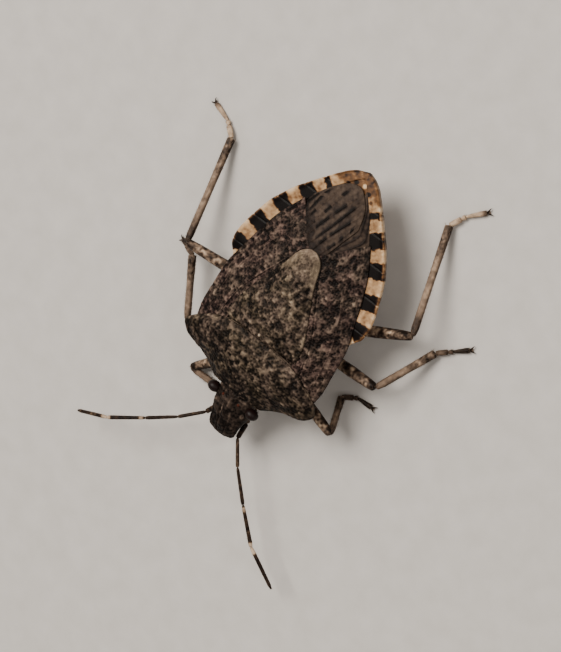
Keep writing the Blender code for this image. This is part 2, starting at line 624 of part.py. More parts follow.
def build_leg(pair, side):
    """A leg: femur, tibia, and a tarsus with two claws and a flat sole on the floor."""
    hip, knee, ankle, instep, toe = leg_joints(pair, side)
    femur = (knee - hip).normalized()
    tibia = (ankle - knee).normalized()
    foot = (instep - ankle).normalized()
    name = f"leg_{pair}_{side}_"
    limb_piece(name + "femur", *spread_along(hip, knee, FEMUR_RADII), "leg", after=tibia)
    limb_piece(name + "tibia", *spread_along(knee, ankle, TIBIA_RADII), "leg", before=femur, after=foot)
    bend = LEG_LENGTHS[pair][2] / sum(LEG_LENGTHS[pair][2:])
    points = []
    for share, _ in TARSUS_RADII:
        past = (share - bend) / (1 - bend)
        points.append(ankle.lerp(instep, share / bend) if share < bend else instep.lerp(toe, past))
    radii = [radius for _, radius in TARSUS_RADII]
    tarsus = limb_piece(name + "tarsus", points, radii, "leg", before=tibia)
    join(tarsus, claws(toe, toe - instep))
    for vertex in tarsus.data.vertices:
        vertex.co.z = max(vertex.co.z, 0.0)
    tarsus.data.update()


def centre_on_floor():
    """Slides the bug so that the origin is the middle of the base of its bounding box."""
    bpy.context.view_layer.update()
    graph = bpy.context.evaluated_depsgraph_get()
    points = []
    for made in BUG.objects:
        mesh = made.evaluated_get(graph).to_mesh()
        points += [made.matrix_world @ vertex.co for vertex in mesh.vertices]
        made.evaluated_get(graph).to_mesh_clear()
    low = [min(point[axis] for point in points) for axis in range(3)]
    high = [max(point[axis] for point in points) for axis in range(3)]
    frame = bpy.data.objects.new("frame", None)
    BUG.objects.link(frame)
    for made in BUG.objects:
        if made is not frame:
            made.parent = frame
    frame.location = (-(low[0] + high[0]) / 2, -(low[1] + high[1]) / 2, 0)


def new_material(name, colour, roughness):
    """A plain material of one colour."""
    made = bpy.data.materials.new(name)
    made.use_nodes = True
    shader = made.node_tree.nodes["Principled BSDF"]
    shader.inputs["Base Color"].default_value = (*colour, 1)
    shader.inputs["Roughness"].default_value = roughness
    made.diffuse_color = (*colour, 1)
    return made


for old in list(bpy.data.objects):
    bpy.data.objects.remove(old)
BUG = bpy.data.collections.new("stink_bug")
bpy.context.scene.collection.children.link(BUG)
MATERIALS = {name: new_material(name, colour, roughness) for name, (colour, roughness) in COLOURS.items()}

build_head()
build_rostrum()
build_pronotum()
build_thorax()
build_scutellum()
build_abdomen()
build_right_membrane()
build_left_membrane()
for side_name in SIDES:
    build_eye(side_name)
    build_corium(side_name)
    build_antenna(side_name)
    for pair_name in COXAE:
        build_leg(pair_name, side_name)
centre_on_floor()
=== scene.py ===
"""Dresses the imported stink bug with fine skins, materials and hairs, and sets up camera, floor and lights.

Shapes are drawn in millimetres in the bug's own frame. X points to its left, Y to its tail and Z up from
the floor, and X = 0, Y = 0 lies midway between its shoulder angles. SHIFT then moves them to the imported
model's frame.
"""

import math

import bmesh
import bpy
import numpy as np
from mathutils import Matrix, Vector


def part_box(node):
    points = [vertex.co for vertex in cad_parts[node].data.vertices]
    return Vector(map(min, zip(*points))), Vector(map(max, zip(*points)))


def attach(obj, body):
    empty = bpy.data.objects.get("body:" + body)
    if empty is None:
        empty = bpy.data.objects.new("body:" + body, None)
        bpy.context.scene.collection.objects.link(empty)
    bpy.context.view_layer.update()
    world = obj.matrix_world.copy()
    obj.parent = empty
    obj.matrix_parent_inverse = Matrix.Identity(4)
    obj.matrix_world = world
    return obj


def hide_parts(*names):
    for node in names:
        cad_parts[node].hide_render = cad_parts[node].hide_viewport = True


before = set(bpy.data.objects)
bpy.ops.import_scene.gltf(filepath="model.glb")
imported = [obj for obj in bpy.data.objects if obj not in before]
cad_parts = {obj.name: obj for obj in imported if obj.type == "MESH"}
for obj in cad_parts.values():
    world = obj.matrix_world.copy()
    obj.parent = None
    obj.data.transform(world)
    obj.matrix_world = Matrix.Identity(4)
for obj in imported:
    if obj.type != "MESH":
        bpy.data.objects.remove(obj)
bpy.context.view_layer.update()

MM = 0.001
SIDES = {"left": 1, "right": -1}
SCUTELLUM_FRONT = 1.92
UP = np.array([0.0, 0.0, 1.0])

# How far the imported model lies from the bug's own frame.
SHIFT = np.array(
    [
        (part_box("pronotum")[0][0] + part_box("pronotum")[1][0]) / 2 / MM,
        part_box("scutellum")[0][1] / MM - SCUTELLUM_FRONT,
        0.0,
    ]
)

# Spacing of the fine grids, the pits, the shaders' relief, the patches of a second tint with the factor
# and step that turn noise into its share, the tone of hairs, and the reach of a weld in metres.
FINE = 0.028
PIT_SPACING = 0.15
PIT_DEPTH = 0.024
RELIEF_DEPTH = 0.01
TINT_PATCH = 0.9
TINT_SHARE = (4.0, -1.5)
HAIR_TONE = 0.62
WELD_DISTANCE = 1e-7

# Head. The stations are (distance along the body, half width or height).
HEAD_HALF_WIDTH = [
    (-4.15, 0.42), (-4.1, 0.58), (-3.95, 0.76), (-3.7, 0.84), (-3.35, 0.87), (-3.0, 0.96), (-2.6, 1.04),
    (-2.4, 1.02), (-1.4, 1.05),
]
HEAD_MIDDLE_TOP = [
    (-4.15, 2.32), (-3.8, 2.6), (-3.3, 2.85), (-2.8, 3.08), (-2.2, 3.3), (-1.75, 3.38), (-1.4, 3.4),
]
HEAD_SIDE_TOP = [(-4.15, 2.26), (-3.8, 2.42), (-3.0, 2.6), (-2.6, 2.72), (-2.3, 2.9), (-1.4, 2.95)]
HEAD_SIDE_BOTTOM = [(-4.15, 2.12), (-3.8, 2.28), (-3.4, 2.36), (-2.85, 2.38), (-2.4, 2.25), (-1.4, 2.3)]
HEAD_MIDDLE_BOTTOM = [(-4.15, 2.06), (-3.9, 1.95), (-3.3, 1.88), (-2.5, 1.8), (-1.4, 1.76)]
HEAD_UNDERSIDE = [(-2.8, 2.5), (-2.3, 0.6)]
CLYPEUS_GROOVE_AT = 0.3
# Pale flecks on the head: (place, half sizes, how much paler).
HEAD_FLECKS = (
    ((-0.26, -2.75), (0.06, 0.36), 0.35),
    ((0.3, -2.9), (0.05, 0.25), 0.2),
    ((0.0, -2.2), (0.06, 0.3), 0.2),
    ((0.62, -1.72), (0.3, 0.08), 0.25),
    ((-0.62, -1.72), (0.3, 0.08), 0.25),
    ((0.86, -2.5), (0.12, 0.2), 0.42),
    ((-0.86, -2.5), (0.1, 0.14), 0.3),
)
EYE_CENTRE = (1.25, -2.07, 2.95)
EYE_RADII = (0.37, 0.29, 0.34)
OCELLUS_CENTRE = (0.5, -1.98, 3.27)
OCELLUS_RADIUS = 0.085
FACET_SIZE = 0.03

# Prothorax: (share of the length, x, y, z) round the side, and (share, y, z) along the middle.
PRONOTUM_SIDE = [
    (0.0, 1.53, -1.6, 3.0), (0.2, 2.2, -1.17, 3.05), (0.38, 2.8, -0.87, 3.15), (0.54, 3.4, -0.68, 3.3),
    (0.7, 3.98, -0.38, 3.42), (0.8, 4.26, -0.02, 3.5), (0.9, 4.12, 0.33, 3.48), (1.0, 3.86, 0.6, 3.42),
    (1.08, 3.6, 0.82, 3.38),
]
PRONOTUM_MIDDLE = [
    (0.0, -1.5, 3.45), (0.3, -0.55, 3.98), (0.6, 0.4, 4.42), (0.85, 1.25, 4.6), (1.0, 1.67, 4.58),
    (1.08, 1.92, 4.55),
]
PRONOTUM_END = 1.08
PRONOTUM_ARC = 0.36 * math.pi
PRONOTUM_SPOTS = ((0.42, -0.55), (1.2, -0.5), (0.35, -1.3))
PROSTERNUM_HEIGHT = [(0.0, 1.8), (0.12, 1.65), (0.3, 1.56), (1.0, 1.5), (1.08, 1.5)]

THORAX_HALF_WIDTH = 3.6
THORAX_FRONT = 0.3
THORAX_BACK = 4.35
THORAX_TOP = 3.2
THORAX_EDGE = 2.62
THORAX_WALL = 0.62
THORAX_SEAMS = (1.25, 2.62)
STERNUM_HEIGHT = 1.52

SCUTELLUM_HALF_WIDTH = [
    (1.5, 2.25), (1.92, 2.22), (2.75, 2.13), (3.7, 1.83), (4.6, 1.45), (5.3, 1.13), (5.9, 0.9), (6.3, 0.78),
    (6.6, 0.66), (6.85, 0.48), (6.98, 0.31), (7.06, 0.14),
]
SCUTELLUM_CREST = [(1.5, 4.45), (1.92, 4.5), (3.0, 4.66), (4.5, 4.6), (6.0, 4.45), (6.6, 4.36), (7.06, 4.22)]
SCUTELLUM_STEP = 0.1
SCUTELLUM_SPOTS = ((0.0, 2.12), (0.95, 2.08), (1.98, 2.2))
TONGUE_CENTRE = 6.35

WING_HALF_WIDTH = [
    (0.4, 3.85), (0.8, 3.9), (2.5, 3.92), (4.0, 3.84), (4.65, 3.67), (6.2, 3.24), (7.6, 2.75), (8.8, 2.1),
    (9.9, 1.4), (10.7, 0.75), (11.25, 0.25),
]
WING_CREST = [
    (0.4, 4.35), (1.0, 4.4), (2.0, 4.42), (4.0, 4.32), (6.0, 4.05), (7.0, 3.9), (8.0, 3.75), (9.0, 3.57),
    (10.0, 3.4), (11.25, 3.2),
]
WING_EDGE = [(0.4, 3.36), (1.0, 3.4), (4.0, 3.4), (6.0, 3.36), (8.0, 3.3), (10.0, 3.22), (11.25, 3.15)]
CORIUM_OUTER = [
    (-0.05, 3.8, 0.5), (0.0, 3.9, 0.95), (0.2, 3.92, 2.5), (0.4, 3.84, 4.0), (0.5, 3.64, 4.75),
    (0.7, 3.24, 6.2), (0.88, 2.75, 7.6), (1.0, 2.11, 8.8),
]
CORIUM_INNER_FRONT = 1.5
CORIUM_INNER_BACK = 6.93

MEMBRANE_ROOT = [
    (0.0, -1.95, 8.85), (0.25, -1.5, 8.1), (0.5, -1.0, 7.5), (0.75, -0.45, 7.0), (1.0, 0.45, 6.95),
]
MEMBRANE_EDGE = [
    (0.0, -1.82, 9.25), (0.2, -1.1, 10.2), (0.38, -0.4, 10.78), (0.5, 0.1, 10.88), (0.65, 0.6, 10.5),
    (0.82, 0.98, 9.95), (1.0, 1.2, 9.1),
]
MEMBRANE_VEINS = 8
LEFT_STRIP_INNER = [
    (0.0, 0.2, 7.0), (0.3, 0.4, 8.0), (0.5, 0.7, 8.98), (0.62, 0.7, 9.4), (0.8, 0.6, 10.1), (1.0, 0.45, 10.9),
]
LEFT_STRIP_OUTER = [
    (0.0, 0.95, 7.1), (0.3, 1.5, 8.0), (0.5, 2.0, 8.8), (0.62, 1.78, 9.3), (0.8, 1.38, 9.98),
    (1.0, 0.6, 10.85),
]

ABDOMEN_FRONT = 4.0
ABDOMEN_BACK = 11.62
TAIL_START = 11.2
RIM_HALF_WIDTH = [
    (4.0, 3.72), (4.2, 3.84), (4.4, 4.0), (4.65, 4.18), (5.0, 4.27), (5.38, 4.28), (6.2, 4.13), (7.0, 3.87),
    (7.77, 3.58), (8.47, 3.17), (9.1, 2.75), (9.7, 2.25), (10.23, 1.8), (10.9, 1.2), (11.3, 0.78),
    (11.52, 0.42), (11.62, 0.12),
]
RIM_TOP = [
    (4.0, 3.2), (4.62, 3.3), (4.8, 3.34), (6.0, 3.3), (8.0, 3.26), (10.0, 3.2), (11.0, 3.14), (11.62, 3.02),
]
KEEL = [(4.0, 1.44), (6.0, 1.37), (8.0, 1.47), (9.5, 1.72), (10.5, 1.97), (11.2, 2.24), (11.62, 2.62)]
VENTER_ROUNDNESS = [(4.2, 1.15), (5.0, 0.9), (7.0, 0.5)]
SUTURES = (4.97, 6.6, 8.1, 9.4, 10.3)
DARK_BANDS = ((4.42, 5.38), (6.2, 7.0), (7.77, 8.47), (9.1, 9.7), (10.23, 10.42))
NOTCH_WIDTH = 0.035
NOTCH_DEPTH = 0.035
RIM_THICKNESS = 0.09
RIM_DROP = 0.4
# Spots on the tail: (x, y, radius, how much paler or darker).
TAIL_SPOTS = (
    (0.2, 11.02, 0.14, 0.4), (-0.28, 10.95, 0.12, -0.45), (0.62, 10.82, 0.12, -0.45),
    (-0.62, 10.72, 0.1, -0.4), (0.95, 10.55, 0.1, -0.3),
)

# Beak: (y, z, radius) at its ends, its narrow joints and beside them.
ROSTRUM = [
    (-3.88, 2.02, 0.1), (-3.86, 1.8, 0.15), (-3.6, 1.54, 0.17), (-2.4, 1.32, 0.16), (-2.3, 1.3, 0.12),
    (-2.2, 1.27, 0.15), (-0.8, 1.08, 0.14), (-0.72, 1.07, 0.1), (-0.64, 1.06, 0.13), (0.9, 1.0, 0.12),
    (0.97, 1.0, 0.09), (1.05, 1.0, 0.11), (2.4, 1.02, 0.09), (2.75, 1.05, 0.03),
]

# Feelers: lengths of the five segments, then where each points, as degrees outwards and upwards.
ANTENNA_SEGMENTS = ("scape", "pedicel", "middle", "fourth", "tip")
ANTENNA_BASE = (0.88, -3.05, 1.88)
ANTENNA_LENGTHS = (0.98, 1.52, 1.95, 2.2, 2.4)
ANTENNA_THICKNESS = ((0.14, 0.13), (0.09, 0.1), (0.085, 0.1), (0.09, 0.11), (0.1, 0.09))
ANTENNA_POSE = {
    "left": [(-3.6, -8.4), (38.7, 11.1), (40.5, -3.3), (43.1, -3.6), (58.0, -7.3)],
    "right": [(27.9, -1.5), (45.3, 14.7), (51.9, -1.8), (55.2, 5.2), (61.2, -19.6)],
}
ANTENNA_JOINT = 0.04
ANTENNA_SOCKET = ((-0.3, 0.5, 0.3), (-0.1, 0.3, 0.1), (0.0, 0.05, 0.0))

# Legs, as in the solids: coxae, lengths, turns in degrees and the heights where stretches end.
HIP_HEIGHT = 1.1
COXAE = {"front": (1.0, 0.05), "middle": (1.1, 2.18), "hind": (0.95, 3.1)}
COXA_REACH = 0.56
LEG_LENGTHS = {
    "front": (3.65, 2.35, 0.86, 0.86),
    "middle": (4.17, 3.4, 0.92, 0.88),
    "hind": (5.47, 5.78, 0.95, 1.12),
}
LEG_POSE = {
    ("front", "left"): ((-10.1, 128.5, 30.3, 1.9), (2.01, 0.4, 0.26, 0.21)),
    ("front", "right"): ((-47.5, 180.0, 176.0, 168.0), (0.5, 0.42, 0.26, 0.21)),
    ("middle", "left"): ((6.4, 66.8, 39.5, 40.0), (1.91, 0.4, 0.26, 0.21)),
    ("middle", "right"): ((-37.2, 58.5, -1.0, -4.0), (1.73, 1.3, 0.75, 0.1)),
    ("hind", "left"): ((30.5, 111.3, 60.5, 44.0), (2.24, 0.4, 0.26, 0.21)),
    ("hind", "right"): ((-2.4, 74.6, 39.4, 19.1), (2.04, 0.4, 0.26, 0.21)),
}
FOOT_HEIGHTS = (0.3, 0.17, 0.13)
LEG_SIZE = {"front": 0.92, "middle": 1.0, "hind": 1.0}
HIP_RADII = (0.46, 0.4, 0.2)
FEMUR_RADII = np.array([0.12, 0.19, 0.27, 0.3, 0.26, 0.21])
TIBIA_RADII = np.array([0.12, 0.15, 0.19, 0.185, 0.215])
BEAD_SHARE = 0.28
CLAW_ANGLE = 34
# Pieces of a foot: stations of (share of the length, radius), then how far each end is rounded.
FOOT_PIECES = (
    (((0, 0.12), (0.4, 0.14), (1, 0.15)), 0.06, 0.07),
    (((0, 0.08), (0.6, 0.13), (1, 0.13)), 0.04, 0.06),
    (((0, 0.06), (0.25, 0.1), (0.8, 0.14), (1, 0.13)), 0.03, 0.08),
)
# Hairs from femur to toe: count, length, lean and seed for each tube.
LEG_HAIRS = (
    (150, 0.1, 0.7, 91), (420, 0.15, 0.62, 94), (90, 0.09, 0.7, 97), (60, 0.09, 0.7, 100),
    (110, 0.09, 0.7, 103),
)

# Camera: lens and sensor in millimetres, place in the bug's own frame, and turn in degrees round X, Y, Z.
LENS = 132.515
SENSOR = 36.0
CAMERA_PLACE = np.array([38.64782, 40.06051, 109.85559])
CAMERA_TURN = (-4.994, 26.236, 33.006)
FLOOR_REACH = 1.5
WORLD_COLOUR = (0.9, 0.84, 0.77, 1)
WORLD_STRENGTH = 0.38
# Lamps: name, place in millimetres, size in metres, power in watts and colour.
LAMPS = (
    ("key", (-150, 90, 330), 0.2, 2.0, (1.0, 0.93, 0.84)),
    ("fill", (230, 120, 260), 0.3, 0.35, (1.0, 0.93, 0.86)),
)


def smooth(stations, at):
    """Values on a smooth curve through stations of (place, value, ...), at the given places."""
    table = np.array(stations, float)
    places = table[:, 0]
    values = table[:, 1:]
    slopes = np.gradient(values, places, axis=0)
    at = np.clip(at, places[0], places[-1])
    first = np.clip(np.searchsorted(places, at, side="right") - 1, 0, len(places) - 2)
    width = (places[first + 1] - places[first])[..., None]
    t = (at - places[first])[..., None] / width
    start = (1 + 2 * t) * (1 - t) ** 2 * values[first] + t * (1 - t) ** 2 * width * slopes[first]
    end = (3 - 2 * t) * t**2 * values[first + 1] - t**2 * (1 - t) * width * slopes[first + 1]
    found = start + end
    return found[..., 0] if found.shape[-1] == 1 else found


def stacked(x, y, z):
    """One grid of points from grids, rows or single values of x, y and z."""
    return np.stack(np.broadcast_arrays(x, y, z), axis=-1)


def ramp(value, low, high):
    """0 below low, 1 above high, and a soft step between."""
    t = np.clip((value - low) / (high - low), 0, 1)
    return t * t * (3 - 2 * t)


def bell(value, middle, width):
    """1 at the middle, and falling away over the width."""
    return np.exp(-(((value - middle) / width) ** 2))


def spot(x, y, place, inner, outer):
    """1 within the inner radius of a place, 0 beyond the outer one."""
    return 1 - ramp(np.hypot(x - place[0], y - place[1]), inner, outer)


def unit(vectors):
    """The vectors at length 1."""
    return vectors / np.maximum(np.linalg.norm(vectors, axis=-1, keepdims=True), 1e-9)


def between(first, second, share):
    """The point at this share of the way from the first point to the second."""
    return first + (second - first) * share


def mirrored(point, sign):
    """The point on the left side, or its mirror image on the right side for a sign of -1."""
    return np.array([point[0] * sign, point[1], point[2]], float)


def lengths_along(path):
    """How far along a path each of its points lies."""
    return np.concatenate([[0], np.cumsum(np.linalg.norm(np.diff(path, axis=0), axis=1))])


def points_along(path, reach, at):
    """Points of a path at these distances, where reach is how far along each of its points lies."""
    return np.stack([np.interp(at, reach, axis) for axis in path.T], axis=1)


def chance(cells, seed):
    """A repeatable number from 0 to 1 for each place on a whole-number lattice."""
    mixed = np.full(cells.shape[:-1], (seed * 2654435761 + 12345) % 2**32, np.uint32)
    for axis in range(cells.shape[-1]):
        mixed = (mixed ^ cells[..., axis].astype(np.int64).astype(np.uint32)) * np.uint32(2654435761)
        mixed ^= mixed >> np.uint32(15)
    mixed = mixed * np.uint32(2246822519)
    mixed ^= mixed >> np.uint32(13)
    return mixed / 2.0**32


def noise(points, size, seed):
    """Smooth values from 0 to 1 whose features are about size millimetres across."""
    place = points / size
    cell = np.floor(place)
    t = place - cell
    t = t * t * (3 - 2 * t)
    found = 0
    for corner in np.ndindex((2,) * points.shape[-1]):
        weight = np.prod(np.where(corner, t, 1 - t), axis=-1)
        found = found + weight * chance(cell + corner, seed)
    return found


def pits(points, spacing, seed, share=0.85):
    """How deep in a pit each point lies, from 0 to 1, over pits scattered in plan."""
    place = points[..., :2] / spacing
    cell = np.floor(place)
    deepest = np.zeros(place.shape[:-1])
    for step in np.ndindex(3, 3):
        at = cell + step - 1
        centre = at + 0.15 + 0.7 * np.stack([chance(at, seed), chance(at, seed + 1)], axis=-1)
        radius = 0.3 + 0.22 * chance(at, seed + 2)
        depth = 1 - ramp(np.linalg.norm(place - centre, axis=-1), 0.35 * radius, 1.25 * radius)
        deepest = np.maximum(deepest, depth * (chance(at, seed + 3) < share))
    return deepest


def mottle(points, seed):
    """Cloudy values about 0 that are low in dark blotches and high in pale flecks between them."""
    broad = noise(points, 0.8, seed) - 0.5
    blotch = noise(points, 0.3, seed + 1) - 0.5
    fleck = noise(points, 0.15, seed + 2) - 0.5
    grain = noise(points, 0.08, seed + 3) - 0.5
    return 0.25 * broad + 0.65 * blotch + 0.9 * fleck + 0.55 * grain


def flat_mottle(x, y, seed):
    """The cloudy values over a flat plan."""
    return mottle(stacked(x, y, 0 * x), seed)


def texture_shell(points, tone, seed, pitted=1.0, spacing=PIT_SPACING, contrast=1.0):
    """Presses pits and low bumps into a grid of points, and speckles its tone to match."""
    cloud = mottle(points, seed)
    pit = pits(points, spacing, seed + 20) * pitted * (1 - 0.8 * ramp(cloud, 0.1, 0.4))
    points = points + UP * (0.06 * cloud - PIT_DEPTH * pit)[..., None]
    return points, tone + contrast * (0.75 * cloud - 0.2 * pit)


def patch_of(points, tone, material=0, wrap=False):
    """A grid of points with its tone and its material's number; wrap joins the last column to the first."""
    tone = np.broadcast_to(tone, points.shape[:2])
    return {"points": points, "tone": tone, "material": material, "wrap": wrap}


def patch_faces(patch, start):
    """The four-sided faces of a patch whose points are numbered from start."""
    rows, columns = patch["points"].shape[:2]
    number = start + np.arange(rows * columns).reshape(rows, columns)
    if patch["wrap"]:
        number = np.concatenate([number, number[:, :1]], axis=1)
    corners = (number[:-1, :-1], number[:-1, 1:], number[1:, 1:], number[1:, :-1])
    return np.stack(corners, axis=-1).reshape(-1, 4)


def placed(name, data):
    """A new object with this data in the scene."""
    made = bpy.data.objects.new(name, data)
    bpy.context.scene.collection.objects.link(made)
    return made


def build_piece(name, patches, materials, slot, *nodes, loose=None):
    """One mesh object from patches, which stands for the named nodes of the solid model.

    Loose is a pair of points and triangles that are added as they are, such as hairs.
    """
    points, tones, faces, numbers = [], [], [], []
    start = 0
    for patch in patches:
        found = patch_faces(patch, start)
        faces += found.tolist()
        numbers += [patch["material"]] * len(found)
        points.append(patch["points"].reshape(-1, 3))
        tones.append(patch["tone"].reshape(-1))
        start += len(points[-1])
    if loose:
        faces += (loose[1] + start).tolist()
        numbers += [0] * len(loose[1])
        points.append(loose[0])
        tones.append(np.full(len(loose[0]), HAIR_TONE))
    mesh = bpy.data.meshes.new(name)
    mesh.from_pydata(((np.concatenate(points) + SHIFT) * MM).tolist(), [], faces)
    tone = mesh.attributes.new("tone", "FLOAT", "POINT")
    tone.data.foreach_set("value", np.concatenate(tones).astype(np.float32))
    mesh.polygons.foreach_set("material_index", np.array(numbers, np.int32))
    for material in materials:
        mesh.materials.append(material)
    mesh.shade_smooth()
    mesh.update()
    piece = placed(name, mesh)
    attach(piece, "root")
    if nodes:
        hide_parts(*nodes)
    return piece


def facing(patch):
    """The patch with its faces turned round, for a surface that looks the other way."""
    turned = dict(patch)
    turned["points"] = patch["points"][:, ::-1]
    turned["tone"] = patch["tone"][:, ::-1]
    return turned


def edged(points, tone, radius, drop, tuck, edges="lrfb", steps=5):
    """A grid with rounded edges added: left and right columns, front and back rows."""
    angles = np.linspace(0, math.pi / 2, steps + 1)[1:]
    for edge in edges:
        turned, shade = (points, tone) if edge in "fb" else (points.swapaxes(0, 1), tone.T)
        if edge in "fl":
            turned, shade = turned[::-1], shade[::-1]
        rim = turned[-1]
        outwards = unit((rim - turned[-3]) * (1, 1, 0))
        rings = [rim + outwards * radius * math.sin(a) - UP * radius * (1 - math.cos(a)) for a in angles]
        rings.append(rings[-1] - UP * drop)
        rings.append(rings[-1] - outwards * tuck - UP * 0.02)
        turned = np.concatenate([turned, np.stack(rings)])
        shade = np.concatenate([shade, np.repeat(shade[-1:], len(rings), axis=0)])
        if edge in "fl":
            turned, shade = turned[::-1], shade[::-1]
        points, tone = (turned, shade) if edge in "fb" else (turned.swapaxes(0, 1), shade.T)
    return points, tone


def wing_height(x, y):
    """Height of the upper side of the folded wings."""
    across = np.clip(np.abs(x) / smooth(WING_HALF_WIDTH, y), 0, 1)
    return between(smooth(WING_EDGE, y), smooth(WING_CREST, y), 1 - across**2)


def counted(length):
    """How many grid lines cover a length at the fine spacing."""
    return max(4, int(round(length / FINE)))


def evenly(length, start=0, end=1):
    """Even steps from start to end, as many as cover a length at the fine spacing."""
    return np.linspace(start, end, counted(length))


# Materials.


def new_material(name):
    """An empty node material and its shader."""
    made = bpy.data.materials.new(name)
    made.use_nodes = True
    return made, made.node_tree, made.node_tree.nodes["Principled BSDF"]


def colour_ramp(tree, stops):
    """A colour ramp node with stops of (place, colour)."""
    node = tree.nodes.new("ShaderNodeValToRGB")
    elements = node.color_ramp.elements
    for place, colour in stops[1:-1]:
        elements.new(place).color = (*colour, 1)
    elements[0].position, elements[0].color = stops[0][0], (*stops[0][1], 1)
    elements[-1].position, elements[-1].color = stops[-1][0], (*stops[-1][1], 1)
    return node


def texture_node(tree, kind, size, setting, value):
    """A texture over the object's own coordinates, with its size in millimetres and one more setting."""
    place = tree.nodes.new("ShaderNodeTexCoord")
    node = tree.nodes.new(kind)
    node.inputs["Scale"].default_value = 1 / (size * MM)
    node.inputs[setting].default_value = value
    tree.links.new(place.outputs["Object"], node.inputs["Vector"])
    return node


def noise_node(tree, size, detail):
    """A noise texture with features of this size in millimetres."""
    return texture_node(tree, "ShaderNodeTexNoise", size, "Detail", detail)


def add_relief(tree, shader, height, strength):
    """A bump node from a height to the shader's normal."""
    relief = tree.nodes.new("ShaderNodeBump")
    relief.inputs["Strength"].default_value = strength
    relief.inputs["Distance"].default_value = RELIEF_DEPTH * MM
    tree.links.new(height, relief.inputs["Height"])
    tree.links.new(relief.outputs["Normal"], shader.inputs["Normal"])
    return relief


def combined(tree, operation, first, second, third=None):
    """The output of a maths node over sockets or numbers."""
    node = tree.nodes.new("ShaderNodeMath")
    node.operation = operation
    for socket, value in zip(node.inputs, (first, second, third)):
        if isinstance(value, (int, float)):
            socket.default_value = value
        elif value is not None:
            tree.links.new(value, socket)
    return node.outputs[0]


def toned_material(name, stops, roughness, grain=0.04, grain_tone=0.16, bump=0.25, gloss=0.06, tint=None):
    """A horny shell whose colour follows the mesh's tone, with fine grain in colour, gloss and relief.

    Roughness is (dark places, pale places). Tint is a second set of stops that shows in broad patches.
    """
    made, tree, shader = new_material(name)
    tone = tree.nodes.new("ShaderNodeAttribute")
    tone.attribute_name = "tone"
    fine = noise_node(tree, grain, 3)
    lifted = combined(tree, "MULTIPLY_ADD", fine.outputs["Fac"], grain_tone, -grain_tone / 2)
    total = combined(tree, "ADD", tone.outputs["Fac"], lifted)
    colours = colour_ramp(tree, stops)
    tree.links.new(total, colours.inputs["Fac"])
    colour = colours.outputs["Color"]
    if tint:
        other = colour_ramp(tree, tint)
        tree.links.new(total, other.inputs["Fac"])
        broad = noise_node(tree, TINT_PATCH, 3)
        share = combined(tree, "MULTIPLY_ADD", broad.outputs["Fac"], *TINT_SHARE)
        mix = tree.nodes.new("ShaderNodeMix")
        mix.data_type = "RGBA"
        mix.clamp_factor = True
        tree.links.new(share, mix.inputs["Factor"])
        tree.links.new(colour, mix.inputs["A"])
        tree.links.new(other.outputs["Color"], mix.inputs["B"])
        colour = mix.outputs["Result"]
    tree.links.new(colour, shader.inputs["Base Color"])
    low, high = roughness
    rough = combined(tree, "MULTIPLY_ADD", total, high - low, low)
    tree.links.new(rough, shader.inputs["Roughness"])
    add_relief(tree, shader, fine.outputs["Fac"], bump)
    shader.inputs["Specular IOR Level"].default_value = gloss
    return made


def eye_material():
    """A dark red-black compound eye with a fine net of facets and a wet gloss."""
    made, tree, shader = new_material("compound_eye")
    facets = texture_node(tree, "ShaderNodeTexVoronoi", FACET_SIZE, "Randomness", 0.35)
    colours = colour_ramp(tree, [(0.0, (0.014, 0.005, 0.004)), (0.7, (0.004, 0.002, 0.002))])
    tree.links.new(facets.outputs["Distance"], colours.inputs["Fac"])
    tree.links.new(colours.outputs["Color"], shader.inputs["Base Color"])
    add_relief(tree, shader, facets.outputs["Distance"], 0.35).invert = True
    shader.inputs["Roughness"].default_value = 0.42
    shader.inputs["Specular IOR Level"].default_value = 0.16
    return made


SHELL_STOPS = [
    (0.0, (0.004, 0.0028, 0.0024)), (0.2, (0.023, 0.016, 0.0125)), (0.4, (0.068, 0.048, 0.037)),
    (0.6, (0.145, 0.106, 0.08)), (0.8, (0.27, 0.205, 0.15)), (1.0, (0.44, 0.35, 0.265)),
]
OLIVE_STOPS = [
    (0.0, (0.004, 0.003, 0.0022)), (0.2, (0.024, 0.0175, 0.0115)), (0.4, (0.072, 0.053, 0.037)),
    (0.6, (0.155, 0.118, 0.081)), (0.8, (0.285, 0.224, 0.155)), (1.0, (0.46, 0.375, 0.27)),
]
CORIUM_STOPS = [
    (0.0, (0.004, 0.0025, 0.0024)), (0.2, (0.024, 0.0145, 0.0125)), (0.4, (0.07, 0.0445, 0.0375)),
    (0.6, (0.15, 0.1, 0.08)), (0.8, (0.27, 0.19, 0.148)), (1.0, (0.42, 0.315, 0.24)),
]
MEMBRANE_STOPS = [
    (0.0, (0.004, 0.0028, 0.0024)), (0.2, (0.02, 0.0135, 0.011)), (0.4, (0.062, 0.043, 0.032)),
    (0.6, (0.125, 0.09, 0.066)), (1.0, (0.3, 0.23, 0.17)),
]
RIM_STOPS = [
    (0.0, (0.004, 0.003, 0.003)), (0.25, (0.02, 0.011, 0.008)), (0.5, (0.15, 0.072, 0.03)),
    (0.75, (0.47, 0.3, 0.16)), (1.0, (0.74, 0.6, 0.43)),
]
VENTER_STOPS = [
    (0.0, (0.012, 0.008, 0.006)), (0.35, (0.07, 0.045, 0.03)), (0.6, (0.24, 0.17, 0.115)),
    (0.85, (0.42, 0.33, 0.23)), (1.0, (0.5, 0.41, 0.3)),
]
LEG_STOPS = [
    (0.0, (0.005, 0.0035, 0.003)), (0.2, (0.024, 0.016, 0.012)), (0.4, (0.075, 0.051, 0.037)),
    (0.6, (0.2, 0.14, 0.1)), (0.8, (0.4, 0.29, 0.2)), (1.0, (0.62, 0.48, 0.34)),
]
